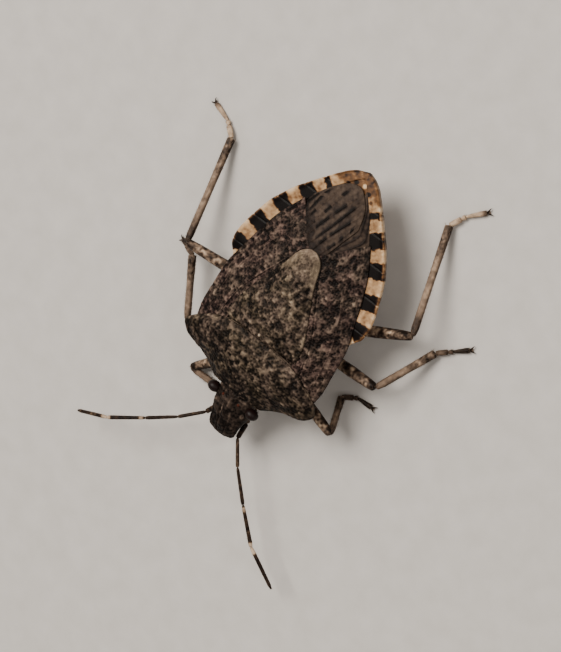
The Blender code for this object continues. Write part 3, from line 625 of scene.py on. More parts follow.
ANTENNA_STOPS = [
    (0.0, (0.006, 0.004, 0.0035)), (0.3, (0.026, 0.016, 0.011)), (0.6, (0.14, 0.09, 0.055)),
    (1.0, (0.52, 0.4, 0.29)),
]
OCELLUS_STOPS = [(0.0, (0.01, 0.003, 0.002)), (1.0, (0.12, 0.035, 0.02))]

SHELL = toned_material("mottled_shell", SHELL_STOPS, (0.48, 0.7), tint=OLIVE_STOPS)
HEAD_SHELL = toned_material("head_shell", SHELL_STOPS, (0.45, 0.65))
CORIUM = toned_material("corium_leather", CORIUM_STOPS, (0.5, 0.7), tint=SHELL_STOPS)
MEMBRANE = toned_material("wing_membrane", MEMBRANE_STOPS, (0.5, 0.6), 0.07, 0.1)
RIM = toned_material("banded_rim_shell", RIM_STOPS, (0.38, 0.5), grain_tone=0.1)
VENTER = toned_material("underside_shell", VENTER_STOPS, (0.38, 0.5), grain_tone=0.14)
LEG = toned_material("leg_shell", LEG_STOPS, (0.38, 0.5), grain_tone=0.14)
ANTENNA = toned_material("feeler_shell", ANTENNA_STOPS, (0.4, 0.5), grain_tone=0.1)
EYE = eye_material()
OCELLUS = toned_material("ocellus_shell", OCELLUS_STOPS, (0.15, 0.2))

# Head.


def head_surface():
    """The upper and lower side of the head, and the cap that rounds its front."""
    front, back = HEAD_HALF_WIDTH[0][0], HEAD_HALF_WIDTH[-1][0]
    y = evenly(back - front, front, back)[:, None]
    across = evenly(2.2, -1)[None, :]
    half_width = smooth(HEAD_HALF_WIDTH, y)
    x = half_width * across
    top = between(smooth(HEAD_SIDE_TOP, y), smooth(HEAD_MIDDLE_TOP, y), (1 - across**2) ** 0.7)
    groove_at = CLYPEUS_GROOVE_AT * (1 + 0.3 * ramp(y, -3.2, -2.4))
    fade = ramp(-y, 2.3, 2.7)
    top = top - 0.06 * bell(np.abs(across), groove_at, 0.05) * fade
    top = top + 0.05 * bell(across, 0, 0.24) * fade
    top = top - 0.05 * bell(np.abs(x), 0.62, 0.16) * bell(y, -2.35, 0.25)
    top = top + 0.03 * bell(np.abs(across), 0.93, 0.08)
    tone = 0.12 + 0 * x
    for place, size, strength in HEAD_FLECKS:
        distance = np.hypot((x - place[0]) / size[0], (y - place[1]) / size[1])
        tone = tone + strength * (1 - ramp(distance, 0.5, 1.1))
    points, tone = texture_shell(stacked(x, y, top), tone, 11, contrast=0.48)
    narrowing = np.interp(y, *np.transpose(HEAD_UNDERSIDE))
    share = (1 - across**2) ** narrowing
    under = between(smooth(HEAD_SIDE_BOTTOM, y), smooth(HEAD_MIDDLE_BOTTOM, y), share)
    under = np.minimum(under, top - 0.02)
    below = stacked(x, y, under)
    return points, tone, below


def build_head():
    """Head with the sockets of the feelers."""
    points, tone, below = head_surface()
    rim_left = (points[:, 0] + below[:, 0]) / 2 - (0.03, 0, 0)
    rim_right = (points[:, -1] + below[:, -1]) / 2 + (0.03, 0, 0)
    below = below[:, ::-1][:, ::2]
    loop = np.concatenate([points, rim_right[:, None], below, rim_left[:, None]], axis=1)
    shade = np.concatenate([tone, tone[:, -1:], 0.32 + 0.2 * noise(below, 0.3, 5), tone[:, :1]], axis=1)
    middle = loop[0].mean(axis=0)
    nose = (loop[0] - (0, 0.05, 0) - middle) * (0.8, 1, 0.55) + middle
    tip = between(middle, loop[0], 0.02) - (0, 0.075, 0)
    loop = np.concatenate([tip[None], nose[None], loop])
    shade = np.concatenate([shade[:1], shade[:1], shade])
    patches = [patch_of(loop, shade, wrap=True)]
    for sign in SIDES.values():
        socket = np.array([mirrored(np.add(ANTENNA_BASE, step), sign) for step in ANTENNA_SOCKET])
        patches.append(tube(socket, [0.2, 0.19, 0.17], 0.35, sides=20, round_start=0.05, round_end=0.06))
    build_piece("head_skin", patches, [HEAD_SHELL], "dark_cuticle", "head")


def ball(centre, radii, tone, rows=28, columns=40):
    """A round patch about an upright axis."""
    height = np.linspace(0, math.pi, rows)[:, None]
    turn = np.linspace(0, 2 * math.pi, columns, endpoint=False)[None, :]
    unit = stacked(np.sin(height) * np.cos(turn), np.sin(height) * np.sin(turn), np.cos(height))
    return facing(patch_of(unit * radii + centre, tone, wrap=True))


def build_eyes():
    """The two compound eyes and the two ocelli."""
    for side, sign in SIDES.items():
        build_piece("eye_" + side + "_skin", [ball(mirrored(EYE_CENTRE, sign), EYE_RADII, 0.2, 40, 60)],
                    [EYE], "eye", "eye_" + side)
        centre = mirrored(OCELLUS_CENTRE, sign)
        build_piece("ocellus_" + side, [ball(centre, (OCELLUS_RADIUS,) * 3, 0.4, 16, 24)], [OCELLUS], "eye")


# Tubes, for limbs.

# Where a tube's rounded end has rings, as shares of its length.
ROUNDING = np.array([0.03, 0.15, 0.4, 0.7])


def frames_along(path):
    """For each point of a path, two directions across it, the second pointing up."""
    ahead = unit(np.gradient(path, axis=0))
    steep = np.abs(ahead[:, 2:]) > 0.95
    side = unit(np.cross(ahead, np.where(steep, (0.0, 1.0, 0.0), UP)))
    return side, np.cross(side, ahead)


def tube(stations, radii, tone, sides=24, step=0.04, round_start=0.0, round_end=0.0, groove=0.0, flat=1.0):
    """A tube through the stations, with a radius at each and rounded ends of the given lengths.

    Tone is a number, or a function of (share of the length, angle, points). Groove cuts a furrow along
    the top, and flat is the height of the cross-section over its width.
    """
    stations = np.array(stations, float)
    reach = lengths_along(stations)
    total = reach[-1]
    along = np.linspace(0, total, max(6, int(total / step)))[1:-1]
    starts, ends = round_start * ROUNDING, total - round_end * ROUNDING
    along = np.concatenate([[1e-4], starts, along, ends, [total - 1e-4]])
    along = np.unique(np.clip(along, 0, total))
    path = points_along(stations, reach, along)
    radius = np.interp(along, reach, radii)
    for length, left in ((round_start, along), (round_end, total - along)):
        if length:
            radius = radius * np.sqrt(np.clip(1 - np.clip(1 - left / length, 0, 1) ** 2, 1e-4, 1))
    side, top = frames_along(path)
    angle = np.linspace(0, 2 * math.pi, sides, endpoint=False)
    scale = radius[:, None] * (1 - groove * bell(angle, math.pi / 2, 0.3))[None, :]
    points = path[:, None] + side[:, None] * (scale * np.cos(angle))[..., None]
    points = points + top[:, None] * (scale * np.sin(angle) * flat)[..., None]
    if callable(tone):
        tone = tone((along / total)[:, None], angle[None, :], points)
    return patch_of(points, tone, wrap=True)


def hairs(patch, count, length, lean, seed, radius=0.007):
    """Short tapered hairs standing on a tube: their points and triangles."""
    grid = patch["points"]
    rows, columns = grid.shape[:2]
    cells = np.arange(count)[:, None]
    row = (1 + chance(cells, seed) * (rows - 3)).astype(int)
    column = (chance(cells, seed + 1) * columns).astype(int)
    foot = grid[row, column]
    centre = grid[row].mean(axis=1)
    out = unit(foot - centre)
    ahead = unit(grid[row + 1].mean(axis=1) - centre)
    way = unit(out * (1 - lean) + ahead * lean)
    reach = length * (0.7 + 0.6 * chance(cells, seed + 2))[:, None]
    tip = foot + way * reach
    tip[:, 2] = np.maximum(tip[:, 2], 0.005)
    across = unit(np.cross(way, out + (0.01, 0.02, 0.03)))
    other = np.cross(way, across)
    root = foot - out * 0.01
    ring = [root + (across * math.cos(turn) + other * math.sin(turn)) * radius for turn in (0, 2.094, 4.189)]
    points = np.stack([*ring, tip], axis=1).reshape(-1, 3)
    first = 4 * np.arange(count)[:, None]
    faces = np.concatenate([first + step for step in ((0, 1, 3), (1, 2, 3), (2, 0, 3))])
    return points, faces


def gathered(groups):
    """Several sets of points and triangles as one."""
    points, faces = [], []
    start = 0
    for some_points, some_faces in groups:
        points.append(some_points)
        faces.append(some_faces + start)
        start += len(some_points)
    return np.concatenate(points), np.concatenate(faces)


def direction(turn, rise, sign):
    """Unit vector that points out to the side, turned towards the tail and raised, in degrees."""
    turn, rise = math.radians(turn), math.radians(rise)
    return np.array([sign * math.cos(turn) * math.cos(rise), math.sin(turn) * math.cos(rise), math.sin(rise)])


def build_antenna(side):
    """A feeler: five segments with narrow joints, pale bands and short hairs."""
    sign = SIDES[side]
    patches, groups = [], []
    start = mirrored(ANTENNA_BASE, sign)
    for number, length in enumerate(ANTENNA_LENGTHS):
        outwards, rise = ANTENNA_POSE[side][number]
        end = start + direction(outwards - 90, rise, sign) * length
        low, high = ANTENNA_THICKNESS[number]
        radii = [ANTENNA_JOINT, 0.8 * low, low, (low + high) / 2, high, 0.75 * high]
        if number == len(ANTENNA_LENGTHS) - 1:
            radii[3:] = [low, high, 0.5 * high]
        stations = [between(start, end, share) for share in (0, 0.03, 0.12, 0.5, 0.9, 1)]

        def tone(share, angle, points, number=number):
            shade = 0.2 + 0.5 * mottle(points, 40 + number)
            if number == 2:
                shade = shade + 0.2 * ramp(share, 0.95, 0.99)
            if number == 3:
                ring = ramp(share, 0.03, 0.07) * (1 - ramp(share, 0.13, 0.2))
                shade = shade + 0.5 * ring + 0.75 * ramp(share, 0.87, 0.92)
            if number == 4:
                shade = shade + 0.75 * (1 - ramp(share, 0.12, 0.2))
            return np.clip(shade, 0, 1)

        patches.append(tube(stations, radii, tone, sides=20, step=0.035, round_start=0.02, round_end=0.07))
        groups.append(hairs(patches[-1], int(90 * length), 0.075, 0.55, 60 + number, radius=0.004))
        start = end
    nodes = [f"antenna_{side}_{segment}" for segment in ANTENNA_SEGMENTS]
    build_piece(f"antenna_{side}_skin", patches, [ANTENNA], "antenna", *nodes, loose=gathered(groups))


def leg_joints(pair, side):
    """The hip, knee, ankle, middle of the foot and toe of a leg."""
    turns, heights = LEG_POSE[pair, side]
    sign = SIDES[side]
    middle = mirrored((*COXAE[pair], HIP_HEIGHT), sign)
    joints = [middle + direction(turns[0], 0, sign) * COXA_REACH]
    for turn, height, length in zip(turns, heights, LEG_LENGTHS[pair]):
        rise = math.degrees(math.asin((height - joints[-1][2]) / length))
        joints.append(joints[-1] + direction(turn, rise, sign) * length)
    for joint, height in zip(joints[2:], FOOT_HEIGHTS):
        joint[2] = height if joint[2] < 0.5 else joint[2]
    return joints


def femur_tone(share, angle, points):
    """Cream speckled with dark brown and darker towards the knee, with painted shade along its two flanks."""
    tone = 0.46 + 0.8 * mottle(points, 81) - 0.22 * ramp(share, 0.84, 0.96)
    # Painted shade: the flanks of the tube, which face sideways, are darker.
    tone = tone - 0.16 * bell(np.abs(np.cos(angle)), 1, 0.2)
    return np.clip(tone + 0.1 * (1 - ramp(share, 0.1, 0.3)), 0.04, 0.95)


def tibia_tone(dark_start, middle, dark_end):
    """A tone for a tibia from its darkness at the knee, paleness midway and darkness at the ankle."""

    def tone(share, angle, points):
        shade = middle - dark_start * (1 - ramp(share, 0.05, 0.3)) - dark_end * ramp(share, 0.55, 0.9)
        shade = shade + (0.25 + 0.4 * ramp(share, 0.5, 0.9)) * mottle(points, 84)
        # Painted shade: the flanks of the tube, which face sideways, are darker.
        return np.clip(shade - 0.16 * bell(np.abs(np.cos(angle)), 1, 0.2), 0.04, 1)

    return tone


def foot_tone(level, tip):
    """A tone for a foot that darkens by tip towards its end."""

    def tone(share, angle, points):
        return np.clip(level + 0.3 * mottle(points, 86) - tip * ramp(share, 0.6, 1.0), 0.04, 1)

    return tone


TIBIA_TONES = {
    "front": tibia_tone(0.2, 0.5, 0.2),
    "middle": tibia_tone(0.1, 0.54, 0.16),
    "hind": tibia_tone(0.4, 0.63, 0.24),
}
FOOT_TONES = {
    "front": (foot_tone(0.3, 0.1), foot_tone(0.1, 0.05)),
    "middle": (foot_tone(0.42, 0.2), foot_tone(0.12, 0.05)),
    "hind": (foot_tone(0.8, 0.12), foot_tone(0.8, 0.35)),
}


def hip_tone(share, angle, points):
    """Tan with brown clouds, darker at the end of the hip."""
    return 0.52 + 0.5 * mottle(points, 87) - 0.15 * ramp(share, 0.6, 1.0) + 0 * angle


def build_leg(pair, side):
    """A leg from coxa to claws, with its hairs."""
    sign = SIDES[side]
    hip, knee, ankle, instep, toe = leg_joints(pair, side)
    size = LEG_SIZE[pair]
    coxa = mirrored((*COXAE[pair], 0), sign)
    out, ahead = unit(hip - knee), unit(ankle - knee)
    femur = [hip + out * 0.22, hip - out * 0.1, *(between(hip, knee, share) for share in (0.3, 0.6, 0.88, 1))]
    tibia = [*(knee + ahead * step for step in (0.02, 0.16, 0.4)), (knee + ankle) / 2, ankle]
    patches = [
        tube([coxa + UP * 1.95, coxa + UP * 1.4, coxa + UP * 0.86], HIP_RADII, hip_tone, 32, round_end=0.24),
        ball(hip + out * 0.24 - UP * 0.02, (0.21, 0.21, 0.2), 0.4),
        tube(femur, size * FEMUR_RADII, femur_tone, 40, round_start=0.1, round_end=0.16),
        tube(tibia, size * TIBIA_RADII, TIBIA_TONES[pair], 32, round_start=0.08, round_end=0.08, groove=0.18),
    ]
    bead = between(instep, ankle, BEAD_SHARE)
    upper, lower = FOOT_TONES[pair]
    ends = ((ankle, bead, upper), (bead, instep, upper), (instep, toe, lower))
    for (start, end, tone), (stations, round_start, round_end) in zip(ends, FOOT_PIECES):
        shares, radii = zip(*stations)
        path = [between(start, end, share) for share in shares]
        patches.append(tube(path, radii, tone, round_start=round_start, round_end=round_end))
    groups = [hairs(patch, *settings) for patch, settings in zip(patches[2:], LEG_HAIRS)]
    patches += claws(toe, toe - instep)
    nodes = [f"leg_{pair}_{side}_{part}" for part in ("femur", "tibia", "tarsus")]
    build_piece(f"leg_{pair}_{side}_skin", patches, [LEG], "leg", *nodes, loose=gathered(groups))


def claws(toe, along):
    """Two curved claws and the two soft pads between them."""
    level = unit(along * (1, 1, 0))
    across = np.cross(UP, level)
    made = []
    for sign in (-1, 1):
        turn = math.radians(CLAW_ANGLE * sign)
        out = level * math.cos(turn) + across * math.sin(turn)
        path = [toe, toe + out * 0.12 + UP * 0.05, toe + out * 0.24 + UP * 0.03, toe + out * 0.32 - UP * 0.06]
        made.append(tube(path, [0.05, 0.04, 0.028, 0.006], 0.1, 12, 0.02, round_start=0.02))
        pad = toe + level * 0.1 + across * 0.05 * sign - UP * 0.05
        made.append(ball(pad, (0.055, 0.055, 0.04), 0.6, 10, 14))
    return made


def build_rostrum():
    """The four-jointed beak under the body, with the fine bristle line along it."""
    points = [(0, y, z) for y, z, _ in ROSTRUM]

    def tone(share, angle, points):
        return 0.6 - 0.35 * bell(angle, math.pi * 1.5, 0.25) - 0.5 * ramp(share, 0.85, 1.0)

    patch = tube(points, [radius for _, _, radius in ROSTRUM], tone, 24, 0.04, round_start=0.1)
    build_piece("rostrum_skin", [patch], [LEG], "leg", "rostrum")


# Plates of the body.


def with_spots(x, y, top, tone, places, inner, outer):
    """The heights and tone of a plate with small raised ivory spots added on both halves."""
    for place in places:
        for sign in SIDES.values():
            near = spot(x, y, (sign * place[0], place[1]), inner, outer)
            top = top + 0.02 * near
            tone = tone + 0.3 * near
    return top, tone


def build_pronotum():
    """The prothorax: the pitted shield with its smooth calli and pale edge, and the underside."""
    along = evenly(3.5, 0, PRONOTUM_END)[:, None]
    across = np.sin(evenly(8.5, -1) * PRONOTUM_ARC)[None, :] / math.sin(PRONOTUM_ARC)
    side_x, side_y, side_z = np.moveaxis(smooth(PRONOTUM_SIDE, along), -1, 0)
    middle_y, middle_z = np.moveaxis(smooth(PRONOTUM_MIDDLE, along), -1, 0)
    x = side_x * across
    y = between(middle_y, side_y, np.abs(across) ** 3)
    top = between(side_z, middle_z, (1 - np.abs(across) ** 2.2) ** 0.8)
    callus = bell(np.abs(x), 0.85, 0.5) * bell(y, -0.92, 0.22)
    top = top + 0.05 * callus - 0.05 * bell(y, -0.5, 0.16) * bell(x, 0, 1.6)
    margin = ramp(np.abs(across), 0.955, 0.985)
    top = top + 0.02 * margin
    # Painted shade: the front slope of the shield is darker, by up to 0.15 in tone.
    tone = 0.28 - 0.15 * (1 - ramp(y - 0.15 * np.abs(x), -1.1, 0.1)) + 0 * x
    tone = tone - 0.05 * callus + 0.06 * bell(y, 1.2, 0.5) * bell(x, 0.3, 1.4)
    tone = tone + 0.2 * margin * (noise(stacked(x, y, 0), 0.2, 31) - 0.3)
    tone = tone + 0.2 * bell(along, 1.0, 0.018) * ramp(np.abs(x), 1.9, 2.5)
    tone = tone + 0.35 * (1 - ramp(along, 0.0, 0.035)) * ramp(np.abs(across), 0.72, 0.85)
    top, tone = with_spots(x, y, top, tone, PRONOTUM_SPOTS, 0.03, 0.1)
    pitted = 1 - 0.6 * callus - 0.5 * margin
    points, tone = texture_shell(stacked(x, y, top), tone, 21, pitted, contrast=0.8)
    share = np.linspace(1, -1, 61)[None, :]
    out = np.abs(share)
    under_top = between(side_z, middle_z, (1 - out**2.2) ** 0.8)
    under = between(smooth(PROSTERNUM_HEIGHT, along), side_z - 0.4, out**1.7) + 0.27 * out**14
    undercut = np.clip((along - 0.62) / 0.23, 0, 1)
    under = np.minimum(between(under, under_top - 0.16, undercut), under_top - 0.1)
    below = stacked(side_x * share, between(middle_y, side_y, out**3), under)
    shade = 0.5 + 0.35 * (noise(below, 0.25, 26) - 0.5) - 0.35 * pits(below, 0.2, 27, 0.7)
    loop = np.concatenate([points, below], axis=1)
    shade = np.concatenate([tone, shade], axis=1)
    loop, shade = capped(loop, shade, front=(0, 0.09, 0), back=(0, -0.12, -0.05))
    patch = patch_of(loop, shade, wrap=True)
    build_piece("pronotum_skin", [patch], [SHELL], "mottled_cuticle", "pronotum")


def capped(loop, shade, front, back):
    """A wrapped grid closed at both ends by rings that shrink and move by even steps, with painted shade: the
    rings take 0.7 of the end's tone, darkening the hollow ends.
    """
    for end, step in ((0, front), (-1, back)):
        middle = loop[end].mean(axis=0)
        shares = np.array([0.94, 0.75, 0.4, 0.02])[:, None, None]
        steps = np.arange(1, len(shares) + 1)[:, None, None] * np.array(step)
        rings = between(middle, loop[end], shares) + steps
        # Painted shade: the rings that close each hollow end are darker than the grid they close.
        painted_shade_rings = np.repeat(shade[end][None] * 0.7, len(rings), axis=0)
        if end == 0:
            loop, shade = np.concatenate([rings[::-1], loop]), np.concatenate([painted_shade_rings, shade])
        else:
            loop, shade = np.concatenate([loop, rings]), np.concatenate([shade, painted_shade_rings])
    return loop, shade


def build_thorax():
    """Underside of the hind part of the thorax, with the furrow for the beak."""
    fore, hind = THORAX_SEAMS
    y = np.linspace(THORAX_FRONT, THORAX_BACK, 102)[:, None]
    across = np.linspace(-1, 1, 181)[None, :]
    x = THORAX_HALF_WIDTH * across + 0 * y
    bottom = between(STERNUM_HEIGHT, THORAX_EDGE, np.abs(across) ** 1.7)
    bottom = bottom + 0.06 * bell(x, 0, 0.25) + 0.07 * bell(y, hind + 0.05 * np.abs(x), 0.05)
    bottom = bottom + 0.08 * bell(y, fore + 0.1 * np.abs(x), 0.05)
    points = stacked(x, y, bottom)
    rise = np.linspace(0, THORAX_WALL, 14)[1:, None] * UP
    wall = np.concatenate([points[:, :1] + rise[::-1], points, points[:, -1:] + rise], axis=1)
    front = wall[:1] * (0.97, 1, 0) + UP * THORAX_TOP
    wall = np.concatenate([front, (front + wall[:1]) / 2, wall])
    tone = 0.58 + 0.4 * mottle(wall, 35) - 0.35 * pits(wall, 0.22, 36, 0.6) * (np.abs(wall[..., 0]) < 3.55)
    tone = tone - 0.2 * bell(wall[..., 1], hind, 0.06) - 0.2 * bell(wall[..., 1], fore, 0.06)
    # Painted shade: the wall darkens towards its top, where it tucks under the plates above.
    tone = tone - 0.2 * ramp(wall[..., 2], 2.7, 3.2)
    build_piece("thorax_skin", [facing(patch_of(wall, tone))], [VENTER], "mottled_cuticle", "thorax")


def build_scutellum():
    """The long triangular shield, with its pale rounded tongue and small ivory spots at its base."""
    outline = scutellum_outline()
    spine = np.stack([0 * outline[:, 0], np.minimum(outline[:, 1], TONGUE_CENTRE)], axis=1)
    across = evenly(2.2)[:, None]
    x, y = np.moveaxis(between(spine, outline, across[..., None]), -1, 0)
    edge = wing_height(outline[:, 0], outline[:, 1]) + SCUTELLUM_STEP
    top = between(edge, smooth(SCUTELLUM_CREST, spine[:, 1]), 1 - across**2.2)
    top = top - 0.14 * (1 - ramp(y, 1.75, 2.05)) - 0.03 * bell(across, 0.86, 0.1)
    tongue = ramp(y, 5.45, 6.0)
    tone = 0.32 + 0.05 * bell(y, 3.4, 1.3) * bell(x, 0, 1.1)
    tone = tone + tongue * (0.17 + 0.12 * ramp(across, 0.55, 0.8))
    tone = tone - 0.12 * bell(y, 5.0, 0.5) * ramp(across, 0.3, 0.8)
    top, tone = with_spots(x, y, top, tone, SCUTELLUM_SPOTS, 0.04, 0.11)
    rim = tongue * ramp(across, 0.6, 0.8)
    contrast = 0.85 - 0.25 * tongue - 0.2 * rim
    points, tone = texture_shell(stacked(x, y, top), tone, 51, 1 - 0.6 * rim, contrast=contrast)
    points, tone = edged(points, tone, 0.05, 0.12, 0.1, "b")
    patch = facing(patch_of(points, tone))
    weld(build_piece("scutellum_skin", [patch], [SHELL], "mottled_cuticle", "scutellum"))


def scutellum_outline():
    """The shield's outline at even steps, from its left front corner round the tip to the right one."""
    front, back = SCUTELLUM_HALF_WIDTH[0][0], SCUTELLUM_HALF_WIDTH[-1][0]
    y = back - (back - front) * np.linspace(1, 0, 900) ** 2
    x = smooth(SCUTELLUM_HALF_WIDTH, y)
    flank = np.stack([np.append(x, 0), np.append(y, back)], axis=1)
    reach = lengths_along(flank)
    flank = points_along(flank, reach, evenly(reach[-1], 0, reach[-1]))
    return np.concatenate([flank, flank[-2::-1] * (-1, 1)])


def weld(piece):
    """Joins the points of a piece that lie on each other, where its grid folds or closes."""
    shape = bmesh.new()
    shape.from_mesh(piece.data)
    bmesh.ops.remove_doubles(shape, verts=shape.verts, dist=WELD_DISTANCE)
    shape.to_mesh(piece.data)
    shape.free()
    piece.data.shade_smooth()


def ruled(first, second, across):
    """The x and y of points on straight lines from each point of one curve to its fellow on another."""
    return np.moveaxis(between(first[:, None, :], second[:, None, :], across[..., None]), -1, 0)


def build_corium(side):
    """The leathery part of a fore wing: claval furrow, pale raised veins and smooth outer edge."""
    sign = SIDES[side]
    along = evenly(8.0, CORIUM_OUTER[0][0])
    across = evenly(3.0)[None, :]
    inner_y = between(CORIUM_INNER_FRONT, CORIUM_INNER_BACK, along)
    inner_x = smooth(SCUTELLUM_HALF_WIDTH, inner_y) - 0.12
    x, y = ruled(np.stack([inner_x, inner_y], axis=1), smooth(CORIUM_OUTER, along), across)
    height = wing_height(x, y)
    along = along[:, None]
    furrow_at = 0.3 - 0.25 * along
    furrow = bell(across, furrow_at, 0.012)
    vein = bell(across, 0.74 - 0.1 * along, 0.014) * (1 - ramp(along, 0.74, 0.84))
    fork = bell(across, 0.67 - 0.35 * (along - 0.6), 0.014) * ramp(along, 0.55, 0.62)
    fork = fork * (1 - ramp(along, 0.85, 0.95))
    veins = np.maximum(vein, fork)
    border = ramp(across, 0.94, 0.97)
    height = height - 0.035 * furrow + 0.03 * veins + 0.03 * border
    tone = 0.26 + 0.1 * veins - 0.14 * furrow
    tone = tone + 0.12 * bell(across, furrow_at + 0.03, 0.012)
    tone = tone + 0.14 * bell(across, 0.9, 0.02) + 0.08 * bell(across, 0.8, 0.02)
    tone = tone - 0.06 * border - 0.14 * bell(across, 0, 0.22) * ramp(along, 0.66, 0.8)
    pitted = 1 - 0.7 * border - 0.3 * vein
    points, tone = texture_shell(stacked(x * sign, y, height), tone, 53, pitted, 0.13, 0.85)
    points, tone = edged(points, tone, 0.04, 0.1, 0.35, "rb")
    patch = patch_of(points, tone)
    patch = patch if sign > 0 else facing(patch)
    build_piece("corium_" + side + "_skin", [patch], [CORIUM], "corium", "corium_" + side)


def build_membranes():
    """The two wing membranes, with raised veins that carry dark broken streaks."""
    across = evenly(4.5)
    along = evenly(3.6)[None, :]
    x, y = ruled(smooth(MEMBRANE_ROOT, across), smooth(MEMBRANE_EDGE, across), along)
    across = across[:, None]
    centre = (np.floor(across * MEMBRANE_VEINS) + 0.5) / MEMBRANE_VEINS
    bend = 0.012 * np.sin(along * 5 + centre * 23)
    vein = bell(across + bend, centre, 0.012) * (1 - ramp(along, 0.86, 0.97))
    streak = bell(across + bend, centre, 0.028)
    broken = ramp(noise(stacked(along * 3.6, centre * 40, 0 * x), 0.42, 71), 0.4, 0.52)
    top = wing_height(x, y) - 0.03 + 0.018 * vein + 0.02 * flat_mottle(x, y, 72)
    tone = 0.34 - 0.42 * streak * broken * ramp(along, 0.12, 0.25) * (1 - ramp(along, 0.8, 0.93))
    tone = tone - 0.26 * (1 - ramp(along, 0.05, 0.25)) + 0.03 * (vein - streak)
    tone = tone - 0.15 * (1 - ramp(across, 0.02, 0.09)) * (1 - ramp(along, 0.6, 0.9))
    tone = tone + 0.2 * flat_mottle(x, y, 73)
    points, shade = edged(stacked(x, y, top), tone, 0.025, 0.05, 0.05, "lrb", 3)
    right = facing(patch_of(points, shade))
    build_piece("membrane_right_skin", [right], [MEMBRANE], "membrane", "membrane_right")
    along = evenly(4.3)
    across = evenly(1.4)[None, :]
    x, y = ruled(smooth(LEFT_STRIP_INNER, along), smooth(LEFT_STRIP_OUTER, along), across)
    vein_at = 0.42 + 0.2 * along[:, None]
    vein = np.maximum(bell(across, vein_at, 0.02), bell(across, 0.8, 0.02))
    top = wing_height(x, y) - 0.1 + 0.02 * vein
    tone = 0.32 - 0.2 * np.maximum(bell(across, vein_at, 0.07), bell(across, 0.8, 0.06))
    tone = tone + 0.2 * flat_mottle(x, y, 74)
    points, shade = edged(stacked(x, y, top), tone, 0.025, 0.04, 0.05, "r", 3)
    build_piece("membrane_left_skin", [patch_of(points, shade)], [MEMBRANE], "membrane", "membrane_left")


# Abdomen.


def band_tone(x, y):
    """Tone of the banded rim: black blocks crossed by a pale line, and orange-cream between.

    The blocks stand square to the rim, so a place inside it counts as further back than its y.
    """
    rim = smooth(RIM_HALF_WIDTH, y)
    narrowing = (smooth(RIM_HALF_WIDTH, y - 0.05) - smooth(RIM_HALF_WIDTH, y + 0.05)) / 0.1
    inside = np.clip(rim - np.abs(x), 0, None)
    wobble = 0.1 * flat_mottle(x, y, 88)
    place = y + narrowing * inside / (1 + narrowing**2) + wobble
    tone = 0.63 + 0.18 * (1 - ramp(inside, 0.0, 0.35)) + 0.2 * flat_mottle(x, y, 89)
    for low, high in DARK_BANDS:
        beyond = np.abs(place - (low + high) / 2) - (high - low) / 2
        beyond = np.maximum(beyond, 0.3 * (wobble + 0.02 - inside))
        tone = tone - 0.92 * (1 - ramp(beyond, -0.06, 0.06))
    for suture in SUTURES[:-1]:
        tone = tone + 0.3 * bell(place, suture, 0.025) * (1 - ramp(inside, 0.35, 0.6))
    tail = ramp(y, 10.55, 10.8)
    tone = between(tone, 0.42 + 0.3 * flat_mottle(x, y, 90), tail)
    for *place, radius, strength in TAIL_SPOTS:
        tone = tone + strength * spot(x, y, place, 0.5 * radius, 1.2 * radius)
    return np.clip(tone, 0, 1)


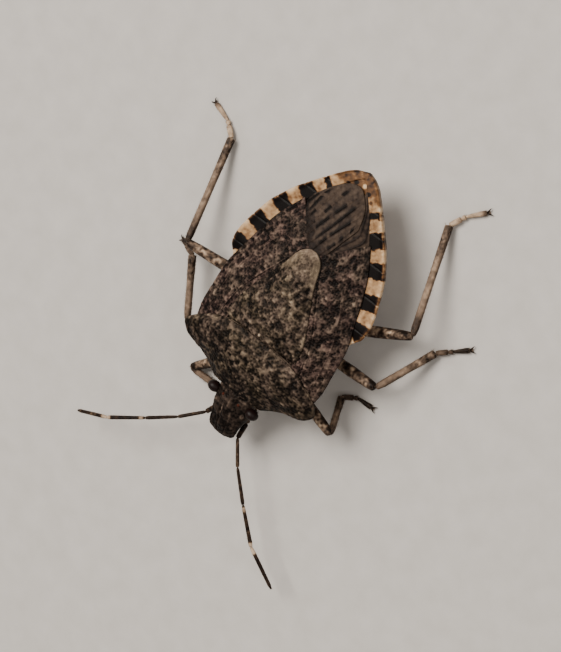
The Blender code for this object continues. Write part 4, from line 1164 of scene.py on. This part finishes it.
def build_abdomen():
    """The abdomen: flat banded rim above in one material, pitted and spotted segments below in another."""
    trunk = evenly(TAIL_START - ABDOMEN_FRONT, ABDOMEN_FRONT, TAIL_START)
    y = np.unique(np.concatenate([trunk, np.linspace(TAIL_START, ABDOMEN_BACK, 22)]))
    notch = sum(bell(y, suture, NOTCH_WIDTH) for suture in SUTURES)
    rim = smooth(RIM_HALF_WIDTH, y) - NOTCH_DEPTH * notch
    y, notch, rim = y[:, None], notch[:, None], rim[:, None]
    wing = np.clip(smooth(WING_HALF_WIDTH, y), 0.2, None) * (1 - ramp(y, 11.15, 11.5))
    inner = np.clip(np.minimum(wing - 0.25, rim * 0.85), 0.02, None)
    strip = np.linspace(1, 0, 27)[None, :]
    right_x = inner + (rim - inner) * strip[:, ::-1]
    middle_x = inner * np.linspace(-1, 1, 9)[None, 1:-1]
    top_x = np.concatenate([-right_x[:, ::-1], middle_x, right_x], axis=1)
    across = np.abs(top_x) / rim
    height = smooth(RIM_TOP, y) + 0.05 * bell(across, 1.0, 0.06) - 0.03 - 0.03 * notch * (across > 0.6)
    height = height - 0.1 * (np.abs(top_x) < wing - 0.1)
    tone = band_tone(top_x, y + 0 * top_x)
    edge_turn = np.linspace(0, math.pi, 8)[1:-1][None, :]
    right_edge_x = rim + 0.05 * np.sin(edge_turn)
    edge_z = smooth(RIM_TOP, y) - RIM_THICKNESS * (1 - np.cos(edge_turn))
    low = smooth(RIM_TOP, y) - RIM_DROP
    share = np.sin(np.linspace(1, -1, 121) * math.pi / 2)[None, :]
    roundness = np.interp(y, *np.transpose(VENTER_ROUNDNESS))
    bottom = between(low, smooth(KEEL, y), (1 - share**2) ** roundness)
    bottom = bottom + 0.22 * np.abs(share) ** 10 + 0.03 * notch
    bottom_x = rim * share
    edge_tone = band_tone(right_edge_x + 0 * edge_z, y + 0 * right_edge_x)
    below = stacked(bottom_x, y, bottom)
    pit = pits(below, 0.24, 93, 0.55)
    shade = 0.68 + 0.3 * (noise(below, 0.35, 92) - 0.5) - 0.4 * pit
    shade = shade - 0.25 * bell(np.abs(share), 0.0, 0.06) - 0.15 * notch - 0.12 * (1 - ramp(y, 4.3, 5.4))
    for suture in SUTURES:
        shade = shade - 0.6 * spot(np.abs(bottom_x), y, (0.83 * rim, suture + 0.75), 0.06, 0.1)
    under_rim = ramp(np.abs(share), 0.93, 0.96)
    shade = between(shade, band_tone(bottom_x, y + 0 * bottom_x), under_rim)
    below = below + UP * 0.015 * pit[..., None]
    above = stacked(top_x, y, height)
    edge = stacked(right_edge_x, y, edge_z)
    loop = np.concatenate([above, edge, below, edge[:, ::-1] * (-1, 1, 1)], axis=1)
    shade = np.concatenate([tone, edge_tone, shade, edge_tone[:, ::-1]], axis=1)
    loop, shade = capped(loop, shade, front=(0, 0.05, 0), back=(0, 0.012, 0))
    first = above.shape[1] + edge.shape[1]
    last = first + below.shape[1]
    around = np.r_[last - 1:loop.shape[1], :first + 1]
    patches = [
        patch_of(loop[:, around], shade[:, around], 0),
        patch_of(loop[:, first:last], shade[:, first:last], 1),
    ]
    build_piece("abdomen_skin", patches, [RIM, VENTER], "banded_rim", "abdomen")


# Camera, floor and lights.


def add_camera():
    """The camera, at the angle and distance that match the photograph."""
    data = bpy.data.cameras.new("camera")
    data.lens = LENS
    data.sensor_width = SENSOR
    data.clip_start = 0.005
    data.clip_end = 10.0
    camera = placed("camera", data)
    camera.location = (CAMERA_PLACE + SHIFT) * MM
    camera.rotation_euler = [math.radians(angle) for angle in CAMERA_TURN]
    bpy.context.scene.camera = camera


def add_light(name, place, size, power, colour):
    """A soft square lamp at a place in millimetres, which faces the bug."""
    data = bpy.data.lights.new(name, "AREA")
    data.size = size
    data.energy = power
    data.color = colour
    lamp = placed(name, data)
    lamp.location = Vector(place) * MM
    lamp.rotation_euler = (-Vector(place)).to_track_quat("-Z", "Y").to_euler()


def add_floor():
    """A plain pale floor."""
    corners = [(x * FLOOR_REACH, y * FLOOR_REACH, 0) for x, y in ((-1, -1), (1, -1), (1, 1), (-1, 1))]
    mesh = bpy.data.meshes.new("floor")
    mesh.from_pydata(corners, [], [(0, 1, 2, 3)])
    floor = placed("floor", mesh)
    made, tree, shader = new_material("pale_floor")
    grain = noise_node(tree, 1.2, 4)
    colours = colour_ramp(tree, [(0.3, (0.5, 0.48, 0.46)), (0.7, (0.55, 0.53, 0.51))])
    tree.links.new(grain.outputs["Fac"], colours.inputs["Fac"])
    tree.links.new(colours.outputs["Color"], shader.inputs["Base Color"])
    shader.inputs["Roughness"].default_value = 0.8
    mesh.materials.append(made)


def add_world():
    """Even pale light from all round."""
    world = bpy.data.worlds.new("studio")
    world.use_nodes = True
    background = world.node_tree.nodes["Background"]
    background.inputs["Color"].default_value = WORLD_COLOUR
    background.inputs["Strength"].default_value = WORLD_STRENGTH
    bpy.context.scene.world = world


build_head()
build_eyes()
build_rostrum()
build_pronotum()
build_thorax()
build_scutellum()
build_abdomen()
build_membranes()
for side_name in SIDES:
    build_corium(side_name)
    build_antenna(side_name)
    for pair_name in COXAE:
        build_leg(pair_name, side_name)

add_floor()
add_world()
for lamp_settings in LAMPS:
    add_light(*lamp_settings)
add_camera()
